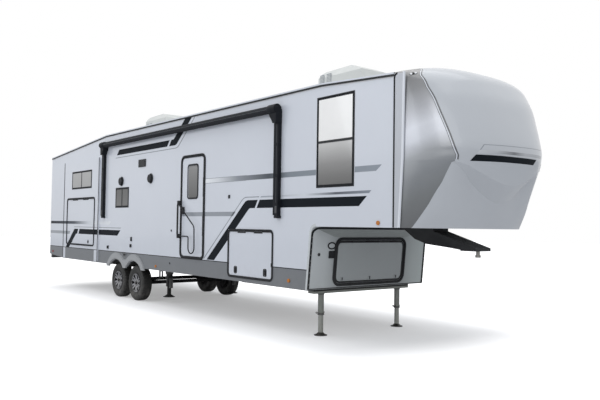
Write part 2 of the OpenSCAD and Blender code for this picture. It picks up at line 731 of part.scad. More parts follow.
module tyre() turned() difference() {
    intersection() {
        translate([rim_d / 2, -tyre_w / 2]) square([tyre_d / 2 - rim_d / 2, tyre_w]);
        union() {
            translate([rim_d / 2, -tyre_w / 2 + 14]) square([tyre_d / 2 - rim_d / 2, tyre_w - 28]);
            translate([tyre_d / 2 - 90, 0]) circle(r = tyre_w / 2 + 2, $fn = 40);
        }
    }
    translate([rim_d / 2 - 1, -tyre_w / 2 + 30]) square([tyre_d / 2 - rim_d / 2 - 20, tyre_w - 60]);
    for (y = [-62, -22, 22, 62]) translate([tyre_d / 2 - 8, y - 4]) square([12, 8]);
}

module rim() {
    face = tyre_w / 2 - 22;
    difference() {
        union() {
            turned() difference() {
                translate([rim_d / 2 - 22, -tyre_w / 2 + 8]) square([22, tyre_w - 16]);
                translate([rim_d / 2 - 8, -tyre_w / 2 + 50]) square([20, tyre_w - 100]);
            }
            turned() polygon([[0, face], [hub_r, face - 4], [rim_d / 2 - 12, face + 12], [rim_d / 2 - 12, face - 12],
                [hub_r, face - 44], [0, face - 44]]);
            turned() translate([0, -60]) square([hub_r, face + 20]);
            turned() {
                translate([0, -40]) square([drum_d / 2, 14]);
                translate([drum_d / 2 - 10, -118]) square([10, 90]);
            }
        }
        turned() translate([0, -200]) square([spindle_d / 2 + 0.05, 200 + 42]);
        for (i = [0 : spokes - 1]) rotate([0, i * 360 / spokes, 0]) translate([0, -face - 20, 0]) {
            translate([0, 70, 0]) rotate([90, 0, 0]) linear_extrude(70) {
                polygon([[hub_r + 12, -8], [hub_r + 12, 8], [rim_d / 2 - 26, 40], [rim_d / 2 - 26, -40]]);
                rotate(180 / spokes) polygon([[hub_r + 36, -2], [hub_r + 36, 2], [rim_d / 2 - 28, 17],
                    [rim_d / 2 - 28, -17]]);
            }
        }
    }
}

module wheel_tyre(back, side) color("#1b1b1c") wheel_place(back, side) tyre();
module wheel_rim(back, side) color("#3a3b3e") wheel_place(back, side) rim();

module tyre_front_door() wheel_tyre(axle_back, -1);
module rim_front_door() wheel_rim(axle_back, -1);
module tyre_rear_door() wheel_tyre(axle_back + axle_gap, -1);
module rim_rear_door() wheel_rim(axle_back + axle_gap, -1);
module tyre_front_off() wheel_tyre(axle_back, 1);
module rim_front_off() wheel_rim(axle_back, 1);
module tyre_rear_off() wheel_tyre(axle_back + axle_gap, 1);
module rim_rear_off() wheel_rim(axle_back + axle_gap, 1);

// Legs, jacks and bumper

module landing_legs() color("#8b8f88") from_kingpin() {
    translate([-leg_back - 70, -1000, sill_low]) cube([140, 2000, sill_h - seat]);
    both_sides() translate([-leg_back, leg_y, 0]) {
        cylinder(d = foot_d, h = 10);
        translate([0, 0, 10]) cylinder(d1 = foot_d * 0.8, d2 = leg_d * 0.9, h = 34);
        cylinder(d = leg_d - 14, h = 440);
        translate([0, 0, 300]) cylinder(d = leg_d, h = sill_low - 299);
    }
}

module stabilizer_jacks() color(black) from_kingpin() both_sides() translate([-jack_back, rail_y, 0]) {
    top = beam_low;
    translate([-jack_w / 2, -jack_w / 2, top - 60]) cube([jack_w, jack_w, 60]);
    translate([-jack_w / 2 + 12, -jack_w / 2 + 12, 330]) cube([jack_w - 24, jack_w - 24, top - 331]);
    translate([-30, -30, jack_low + 20]) cube([60, 60, 250]);
    translate([jack_w / 2 - 20, -30, 300]) cube([60, 60, 200]);
    translate([0, 0, jack_low]) cylinder(d1 = 240, d2 = 90, h = 50);
    translate([0, 0, jack_low]) cylinder(d = 240, h = 8);
}

module rear_bumper() color(black) from_kingpin() {
    low = beam_low + beam_t;
    translate([-rear_back - bumper_s - seat, -bumper_l / 2, low]) cube([bumper_s, bumper_l, bumper_s]);
    both_sides() translate([-rear_back - bumper_s / 2, rail_y - 30, low])
        cube([bumper_s / 2 + wall_t, 60, skirt_low + skirt_kick - low - seat]);
}

// Roof units

module ac_side(l, h) polygon([[0, 0], [0, 0.34 * h], [0.07 * l, 0.74 * h], [0.34 * l, h], [0.90 * l, 0.95 * h],
    [0.98 * l, 0.88 * h], [l, 0.76 * h], [l, 0]]);

module air_conditioner(back) translate([-back, 0, eave_h + roof_crown - 40]) difference() {
    intersection() {
        plate(-ac_w / 2, ac_w) translate([ac_l / 2, 0]) mirror([1, 0]) ac_side(ac_l, ac_h + 40);
        run_x(-ac_l, 2 * ac_l) polygon([[-ac_w / 2, 0], [-ac_w / 2, ac_h * 0.78], [-ac_w / 2 + 90, ac_h + 40],
            [ac_w / 2 - 90, ac_h + 40], [ac_w / 2, ac_h * 0.78], [ac_w / 2, 0]]);
    }
    for (i = [-4 : 4]) translate([i * 60 - 20, ac_w / 2 - 14, 70]) cube([40, 30, 110]);
    for (i = [-4 : 4]) translate([i * 60 - 20, -ac_w / 2 - 16, 70]) cube([40, 30, 110]);
}

module on_roof() difference() {
    children();
    translate([-slope_rear_back - 500, 0, eave_h + roof_crown - roof_r]) rotate([0, 90, 0])
        cylinder(r = roof_r + seat, h = slope_rear_back, $fn = 720);
}

module roof_ac() color("#d6d8d8") from_kingpin() on_roof() for (back = [ac_front_back, ac_rear_back])
    air_conditioner(back);

// Vents: back to the middle, offset from the centre line, length, width, height
vents = [[4400, 250, 420, 420, 120], [6600, -250, 420, 420, 120]];

module roof_vents() color("#cfd2d3") from_kingpin() on_roof() for (v = vents)
    translate([-v[0] - v[2] / 2, v[1] - v[3] / 2, eave_h + roof_crown - 30]) {
        cube([v[2], v[3], 70]);
        translate([20, 20, 60]) cube([v[2] - 40, v[3] - 40, v[4] - 30]);
    }

// Awning

module awning_arms() color("#c6c9cb") from_kingpin() for (back = [awning_rear_back, awning_front_back])
    translate([-back - arm_w / 2, -half - seat, 0]) {
        translate([0, -arm_deep, arm_low]) cube([arm_w, arm_deep, awning_h - awning_r - 20 - arm_low]);
        translate([0, -awning_out, awning_h]) rotate([0, 90, 0]) cylinder(r = awning_r + 14, h = arm_w);
        run_x(0, arm_w) polygon([[0, awning_h - awning_r - 140], [-arm_deep, awning_h - awning_r - 140],
            [-awning_out - 50, awning_h - 30], [-awning_out, awning_h], [0, awning_h]]);
    }

module awning_roller() color("#e0e2e3") from_kingpin()
    translate([-awning_rear_back + arm_w / 2 + seat, -half - awning_out, awning_h]) rotate([0, 90, 0])
        cylinder(r = awning_r, h = awning_rear_back - awning_front_back - arm_w - 2 * seat);

// Trim, windows and fittings of the fixed walls

module hatch_rings() color(black) from_kingpin() {
    both_sides() pass_place() translate([0, -seat, 0]) hatch_ring(pass_l, pass_h, ring_w, 60);
    front_place() translate([0, -seat, 0]) hatch_ring(front_l, front_h, ring_w, 80);
    entry_place() translate([0, -seat, 0]) hatch_ring(entry_h, entry_w, entry_ring, 90);
}

module window_frames() color(black) from_kingpin() {
    translate([0, -half - seat, 0]) for (win = door_windows) window_frame(win);
    mirror([0, 1, 0]) translate([0, -half - seat, 0]) for (win = off_windows) window_frame(win);
}

module window_glass() color("#4a5058") from_kingpin() {
    translate([0, -half, 0]) for (win = door_windows) window_pane(win);
    mirror([0, 1, 0]) translate([0, -half, 0]) for (win = off_windows) window_pane(win);
}

// Marker lamps on the walls: back, height
markers = [[610, 1658], [2440, 800], [6730, 768], [12740, 838]];

module lamps() color("#c26a1c") from_kingpin() {
    both_sides() {
        for (m = markers) translate([-m[0], -half - seat, m[1]]) rotate([90, 0, 0]) cylinder(r = 28, h = 14);
        // Tail lamps
        translate([-rear_back - 22 - seat, -half + 110, 1150]) cube([22, 160, 330]);
    }
    for (y = [-200, 0, 200]) translate([-rear_back - 16 - seat, y - 45, eave_rear_h - 130]) cube([16, 90, 32]);
}

module wall_fittings() color("#2b2c2f") from_kingpin() {
    translate([0, -half - seat, 0]) {
        for (back = [8440, 7030]) translate([-back, 0, 2512]) rotate([90, 0, 0]) cylinder(r1 = 96, r2 = 80, h = 44);
        translate([-7602, -12, 2768]) cube([333, 12, 157]);
        for (m = [[7880, 1275, 52, 86], [7905, 1133, 70, 70], [9100, 1065, 80, 70]])
            translate([-m[0] - m[2] / 2, -14, m[1] - m[3] / 2]) cube([m[2], 14, m[3]]);
    }
}

// Entry door, its glass and the folded handle

entry_win = [entry_back - (entry_w - entry_win_w) / 2, entry_win_low, entry_win_w, entry_win_h, 0];

module entry_door() color("#cfd3d7") from_kingpin() {
    difference() {
        entry_place() hatch_leaf(entry_h, entry_w, entry_ring, 90, wall_t - 6);
        window_hole(entry_win, -half - 1, wall_t + 2);
    }
    translate([0, -half, 0]) window_frame(entry_win);
    // Lock housing with its lever
    translate([-entry_back + entry_ring + 22, -half - 16, 1790]) cube([80, 17, 130]);
    translate([-entry_back + entry_ring + 34, -half - 34, 1838]) cube([90, 19, 24]);
}

module entry_glass() color("#23262a") from_kingpin() translate([0, -half, 0]) window_pane(entry_win);

// The handle's middle line, back from the kingpin and height, in order round the loop
grab_line = [[entry_back, grab_high], [5130, 1560], [5120, 1190], [5215, 1080], [5315, 1185],
    [5340, grab_low], [entry_back, grab_low]];

module bar(a, b, w) translate(a) rotate(atan2(b[1] - a[1], b[0] - a[0])) translate([0, -w / 2])
    square([norm(b - a), w]);

module grab_handle() color("#1c1d1f") from_kingpin() translate([0, -half, 0]) {
    points = [for (p = grab_line) [-p[0], p[1]]];
    plate(-grab_out - grab_d, grab_d) for (i = [0 : len(points) - 1]) {
        bar(points[i], points[(i + 1) % len(points)], grab_d);
        translate(points[i]) circle(d = grab_d + 4);
    }
    for (h = [grab_high, grab_low]) translate([-entry_back - 28, -grab_out - 1, h - 30])
        cube([56, grab_out + 1 - ring_out - 2 * seat, 60]);
}

// Hatches

module pass_hatch() pass_place() {
    hatch_leaf(pass_l, pass_h, ring_w, 60, leaf_t);
    for (x = [0.18, 0.84]) latch(pass_l * x, 110);
}

module pass_hatch_door() color("#c9ced4") from_kingpin() pass_hatch();
module pass_hatch_off() color("#c9ced4") from_kingpin() mirror([0, 1, 0]) pass_hatch();

module bulkhead_hatch() color("#8d9391") from_kingpin() front_place() {
    hatch_leaf(front_l, front_h, ring_w, 80, bulkhead_t - 6);
    for (x = [0.1, 0.5, 0.9]) latch(front_l * x, 62);
}

module kitchen_hatch() color("#cdd1d6") from_kingpin() kitchen_place() {
    hatch_leaf(kitchen_l, kitchen_h, ring_w, 60, face_t);
    for (x = [0.2, 0.8]) latch(kitchen_l * x, 90);
}

// Slide-out rooms. A room is a box open towards the cabin with a flanged outer face

module room(back, l, low, high, deep) {
    x0 = -back + room_flange + room_gap;
    inner_l = l - 2 * (room_flange + room_gap);
    top = high - room_flange - room_gap;
    translate([-back, -half - run - face_t, low]) cube([l, face_t, high - low]);
    translate([x0, -half - run - 1, room_floor]) difference() {
        cube([inner_l, deep + 1, top - room_floor]);
        translate([room_t, 1, room_t]) cube([inner_l - 2 * room_t, deep + 2, top - room_floor - 2 * room_t]);
    }
}

module bunk_room() color(wall_grey) from_kingpin() {
    x0 = -bunk_back + room_flange + room_gap;
    inner_l = bunk_l - 2 * (room_flange + room_gap);
    difference() {
        room(bunk_back, bunk_l, bunk_low, bunk_high, bunk_deep);
        kitchen_place() hatch_hole(kitchen_l, kitchen_h, ring_w, 60, 60);
        for (win = bunk_windows) window_hole(win, -half - 40, 60);
    }
    // Shelf over the kitchen and the kitchen's rear partition
    translate([x0 + 1, -half - run, bunk_shelf]) cube([inner_l - 2, bunk_deep, room_t]);
    translate([x0 + 1, -half - run + bunk_deep - room_t, room_floor + 1])
        cube([inner_l - 2, room_t, bunk_shelf - room_floor]);
}

module bunk_trim() color(black) from_kingpin() translate([0, -half - room_flange_out() - seat, 0]) {
    for (win = bunk_windows) window_frame(win);
    for (x = [-bunk_back, -bunk_back + bunk_l - 20]) translate([x, -6, bunk_low]) cube([20, 6, bunk_high - bunk_low]);
    for (win = bunk_windows) translate([0, seat, 0]) window_pane(win);
}

module kitchen_ring() color(black) from_kingpin() kitchen_place() translate([0, -seat, 0])
    hatch_ring(kitchen_l, kitchen_h, ring_w, 60);

module main_room() color(wall_grey) from_kingpin() mirror([0, 1, 0]) difference() {
    room(main_back, main_l, main_low, main_high, main_deep);
    for (win = main_windows) window_hole(win, -half - 40, 60);
}

module main_trim() color(black) from_kingpin() mirror([0, 1, 0]) translate([0, -half - room_flange_out() - seat, 0]) {
    for (win = main_windows) {
        window_frame(win);
        translate([0, seat, 0]) window_pane(win);
    }
    for (x = [-main_back, -main_back + main_l - 20])
        translate([x, -6, main_low]) cube([20, 6, main_high - main_low]);
}

frame_rails();
pin_box();
kingpin();
underbelly();
floor_panel();
bay_liner();
bedroom_deck();
bulkhead();
side_wall_door();
side_wall_off();
rear_wall();
roof_panel();
eave_rails();
nose_cap();
cap_flange();
skirts();
fenders();
axle_front();
axle_rear();
leaf_springs();
landing_legs();
stabilizer_jacks();
rear_bumper();
roof_ac();
roof_vents();
awning_arms();
awning_roller();
hatch_rings();
window_frames();
window_glass();
lamps();
wall_fittings();
tyre_front_door();
rim_front_door();
tyre_rear_door();
rim_rear_door();
tyre_front_off();
rim_front_off();
tyre_rear_off();
rim_rear_off();
entry_door();
entry_glass();
grab_handle();
pass_hatch_door();
pass_hatch_off();
bulkhead_hatch();
bunk_room();
bunk_trim();
kitchen_ring();
kitchen_hatch();
main_room();
main_trim();
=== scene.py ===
import math

import bmesh
import bpy
from mathutils import Matrix, Vector
from mathutils.geometry import tessellate_polygon


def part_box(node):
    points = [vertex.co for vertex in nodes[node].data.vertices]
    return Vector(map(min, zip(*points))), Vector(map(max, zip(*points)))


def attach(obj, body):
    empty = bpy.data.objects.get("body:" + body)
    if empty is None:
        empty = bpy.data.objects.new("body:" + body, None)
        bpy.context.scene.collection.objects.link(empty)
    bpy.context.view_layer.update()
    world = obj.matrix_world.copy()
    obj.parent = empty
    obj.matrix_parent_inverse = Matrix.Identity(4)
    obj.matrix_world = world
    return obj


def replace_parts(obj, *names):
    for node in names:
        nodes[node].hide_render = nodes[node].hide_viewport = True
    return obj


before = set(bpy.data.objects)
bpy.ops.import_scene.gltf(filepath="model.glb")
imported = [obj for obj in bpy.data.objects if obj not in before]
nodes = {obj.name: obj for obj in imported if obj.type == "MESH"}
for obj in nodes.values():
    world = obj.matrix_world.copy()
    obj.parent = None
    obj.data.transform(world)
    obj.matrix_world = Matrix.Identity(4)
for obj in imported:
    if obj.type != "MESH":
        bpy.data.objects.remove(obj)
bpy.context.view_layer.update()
scene = bpy.context.scene
print("frame loaded")

# Driving sizes, in metres. Lengths along the trailer are measured back from the kingpin, as a builder would
pinLow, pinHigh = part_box("kingpin")
kingpinX = (pinLow.x + pinHigh.x) / 2
wallY = -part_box("side_wall_door")[0].y
roomY = -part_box("bunk_room")[0].y
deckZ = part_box("bedroom_deck")[0].z
paintLift = 0.0006


def ahead(back):
    return kingpinX - back


# Shared shader groups

def newGroup(name, inputs, outputs):
    tree = bpy.data.node_groups.new(name, "ShaderNodeTree")
    for label, kind, value in inputs:
        socket = tree.interface.new_socket(name=label, in_out="INPUT", socket_type="NodeSocket" + kind)
        socket.default_value = value
    for label, kind in outputs:
        tree.interface.new_socket(name=label, in_out="OUTPUT", socket_type="NodeSocket" + kind)
    return tree, tree.nodes.new("NodeGroupInput"), tree.nodes.new("NodeGroupOutput")


def addNode(tree, kind, values=None, **settings):
    node = tree.nodes.new("ShaderNode" + kind)
    for key, value in settings.items():
        setattr(node, key, value)
    for key, value in (values or {}).items():
        node.inputs[key].default_value = value
    return node


def mixColors(tree, blend="MIX"):
    node = tree.nodes.new("ShaderNodeMix")
    node.data_type = "RGBA"
    node.blend_type = blend
    return node


def mottleGroup():
    tree, given, made = newGroup(
        "mottle",
        [("Color", "Color", (1, 1, 1, 1)), ("Amount", "Float", 0.1), ("Scale", "Float", 1.0)],
        [("Color", "Color")],
    )
    place = addNode(tree, "TexCoord")
    broad = addNode(tree, "TexNoise", {"Detail": 4.0, "Roughness": 0.6})
    share = addNode(tree, "MapRange", {"From Min": 0.3, "From Max": 0.7, "To Min": 1.0, "To Max": 0.0})
    faded = addNode(tree, "Math", operation="MULTIPLY")
    shaded = mixColors(tree, "MULTIPLY")
    shaded.inputs["B"].default_value = (0.45, 0.46, 0.5, 1)
    tree.links.new(place.outputs["Object"], broad.inputs["Vector"])
    tree.links.new(given.outputs["Scale"], broad.inputs["Scale"])
    tree.links.new(broad.outputs["Fac"], share.inputs["Value"])
    tree.links.new(share.outputs["Result"], faded.inputs[0])
    tree.links.new(given.outputs["Amount"], faded.inputs[1])
    tree.links.new(faded.outputs["Value"], shaded.inputs["Factor"])
    tree.links.new(given.outputs["Color"], shaded.inputs["A"])
    tree.links.new(shaded.outputs["Result"], made.inputs["Color"])
    return tree


def dustGroup():
    tree, given, made = newGroup(
        "roadDust",
        [
            ("Color", "Color", (1, 1, 1, 1)),
            ("Dust", "Color", (0.36, 0.34, 0.31, 1)),
            ("Amount", "Float", 0.2),
            ("Top", "Float", 1.0),
            ("Clean Roughness", "Float", 0.3),
        ],
        [("Color", "Color"), ("Roughness", "Float")],
    )
    place = addNode(tree, "TexCoord")
    height = addNode(tree, "SeparateXYZ")
    low = addNode(tree, "MapRange", {"From Min": 0.0, "To Min": 1.0, "To Max": 0.0}, interpolation_type="SMOOTHSTEP")
    specks = addNode(tree, "TexNoise", {"Scale": 9.0, "Detail": 6.0, "Roughness": 0.7})
    patchy = addNode(tree, "MapRange", {"From Min": 0.35, "From Max": 0.75})
    both = addNode(tree, "Math", operation="MULTIPLY")
    faded = addNode(tree, "Math", operation="MULTIPLY")
    dusted = mixColors(tree)
    rough = addNode(tree, "Mix", {"B": 0.85})
    tree.links.new(place.outputs["Object"], height.inputs["Vector"])
    tree.links.new(place.outputs["Object"], specks.inputs["Vector"])
    tree.links.new(height.outputs["Z"], low.inputs["Value"])
    tree.links.new(given.outputs["Top"], low.inputs["From Max"])
    tree.links.new(specks.outputs["Fac"], patchy.inputs["Value"])
    tree.links.new(low.outputs["Result"], both.inputs[0])
    tree.links.new(patchy.outputs["Result"], both.inputs[1])
    tree.links.new(both.outputs["Value"], faded.inputs[0])
    tree.links.new(given.outputs["Amount"], faded.inputs[1])
    tree.links.new(faded.outputs["Value"], dusted.inputs["Factor"])
    tree.links.new(given.outputs["Color"], dusted.inputs["A"])
    tree.links.new(given.outputs["Dust"], dusted.inputs["B"])
    tree.links.new(faded.outputs["Value"], rough.inputs["Factor"])
    tree.links.new(given.outputs["Clean Roughness"], rough.inputs["A"])
    tree.links.new(dusted.outputs["Result"], made.inputs["Color"])
    tree.links.new(rough.outputs["Result"], made.inputs["Roughness"])
    return tree


def grainGroup():
    tree, given, made = newGroup(
        "grain",
        [("Scale", "Float", 200.0), ("Stretch", "Vector", (1, 1, 1)), ("Depth", "Float", 0.2)],
        [("Height", "Float")],
    )
    place = addNode(tree, "TexCoord")
    stretched = addNode(tree, "VectorMath", operation="MULTIPLY")
    fine = addNode(tree, "TexNoise", {"Detail": 3.0, "Roughness": 0.55})
    height = addNode(tree, "Math", operation="MULTIPLY")
    tree.links.new(place.outputs["Object"], stretched.inputs[0])
    tree.links.new(given.outputs["Stretch"], stretched.inputs[1])
    tree.links.new(stretched.outputs["Vector"], fine.inputs["Vector"])
    tree.links.new(given.outputs["Scale"], fine.inputs["Scale"])
    tree.links.new(fine.outputs["Fac"], height.inputs[0])
    tree.links.new(given.outputs["Depth"], height.inputs[1])
    tree.links.new(height.outputs["Value"], made.inputs["Height"])
    return tree


def wearGroup():
    tree, given, made = newGroup(
        "edgeWear",
        [("Color", "Color", (1, 1, 1, 1)), ("Worn", "Color", (0.4, 0.4, 0.4, 1)), ("Amount", "Float", 0.2)],
        [("Color", "Color")],
    )
    shape = addNode(tree, "NewGeometry")
    edge = addNode(tree, "MapRange", {"From Min": 0.52, "From Max": 0.62})
    faded = addNode(tree, "Math", operation="MULTIPLY")
    worn = mixColors(tree)
    tree.links.new(shape.outputs["Pointiness"], edge.inputs["Value"])
    tree.links.new(edge.outputs["Result"], faded.inputs[0])
    tree.links.new(given.outputs["Amount"], faded.inputs[1])
    tree.links.new(faded.outputs["Value"], worn.inputs["Factor"])
    tree.links.new(given.outputs["Color"], worn.inputs["A"])
    tree.links.new(given.outputs["Worn"], worn.inputs["B"])
    tree.links.new(worn.outputs["Result"], made.inputs["Color"])
    return tree


groups = {"mottle": mottleGroup(), "dust": dustGroup(), "grain": grainGroup(), "wear": wearGroup()}


def useGroup(tree, key, values):
    node = tree.nodes.new("ShaderNodeGroup")
    node.node_tree = groups[key]
    for label, value in values.items():
        node.inputs[label].default_value = value
    return node


def opaque(color):
    return (*color, 1.0)


def finish(look, base, rough, shader=None, mottle=(0.05, 1.2), dust=(0.0, 1.0), grain=(200.0, 0.1), wear=0.0,
           stretch=(1, 1, 1), bump=0.08):
    # Wires base, a colour or a colour socket, through mottle, wear and dust, and grain into the normal
    tree = look.node_tree
    target = tree.nodes["Principled BSDF"]
    for label, value in (shader or {}).items():
        target.inputs[label].default_value = value
    spots = useGroup(tree, "mottle", {"Amount": mottle[0], "Scale": mottle[1]})
    dirt = useGroup(tree, "dust", {"Amount": dust[0], "Top": dust[1], "Clean Roughness": rough})
    relief = useGroup(tree, "grain", {"Scale": grain[0], "Depth": grain[1], "Stretch": stretch})
    if isinstance(base, bpy.types.NodeSocket):
        tree.links.new(base, spots.inputs["Color"])
    else:
        spots.inputs["Color"].default_value = opaque(base)
    last = spots
    if wear:
        last = useGroup(tree, "wear", {"Amount": wear, "Worn": (0.35, 0.35, 0.34, 1)})
        tree.links.new(spots.outputs["Color"], last.inputs["Color"])
    lift = addNode(tree, "Bump", {"Strength": bump, "Distance": 0.002})
    tree.links.new(last.outputs["Color"], dirt.inputs["Color"])
    tree.links.new(dirt.outputs["Color"], target.inputs["Base Color"])
    tree.links.new(dirt.outputs["Roughness"], target.inputs["Roughness"])
    tree.links.new(relief.outputs["Height"], lift.inputs["Height"])
    tree.links.new(lift.outputs["Normal"], target.inputs["Normal"])
    return look


def newLook(name):
    look = bpy.data.materials.new(name)
    look.use_nodes = True
    return look


def plainLook(name, color, rough, **more):
    return finish(newLook(name), color, rough, **more)


def rampLook(name, axis, low, high, stops, rough, hard=False, slant=(0.0, 0.0), **more):
    # A colour that runs along one axis of the trailer between two places. slant tilts it: rise for each metre
    # along the trailer, and the place where it is level
    look = newLook(name)
    tree = look.node_tree
    place = addNode(tree, "TexCoord")
    parts = addNode(tree, "SeparateXYZ")
    along = addNode(tree, "MapRange", {"From Min": low, "From Max": high})
    ramp = addNode(tree, "ValToRGB")
    ramp.color_ramp.interpolation = "CONSTANT" if hard else "LINEAR"
    while len(ramp.color_ramp.elements) < len(stops):
        ramp.color_ramp.elements.new(0.5)
    for element, (share, color) in zip(ramp.color_ramp.elements, stops):
        element.position = share
        element.color = opaque(color)
    tree.links.new(place.outputs["Object"], parts.inputs["Vector"])
    lean = addNode(tree, "Math", {1: slant[0], 2: -slant[0] * slant[1]}, operation="MULTIPLY_ADD")
    tilted = addNode(tree, "Math", operation="ADD")
    tree.links.new(parts.outputs["X"], lean.inputs[0])
    tree.links.new(lean.outputs["Value"], tilted.inputs[0])
    tree.links.new(parts.outputs[axis], tilted.inputs[1])
    tree.links.new(tilted.outputs["Value"], along.inputs["Value"])
    tree.links.new(along.outputs["Result"], ramp.inputs["Fac"])
    return finish(look, ramp.outputs["Color"], rough, **more)


# Finishes

gel = {"Coat Weight": 0.35, "Coat Roughness": 0.08}
metalPaint = {"Metallic": 0.25, "Coat Weight": 0.6, "Coat Roughness": 0.06}
steel = {"Metallic": 0.85}
dull = {"Specular IOR Level": 0.08}
wallColor = (0.645, 0.675, 0.735)
skirtColor = (0.172, 0.182, 0.195)
blackColor = (0.014, 0.015, 0.018)

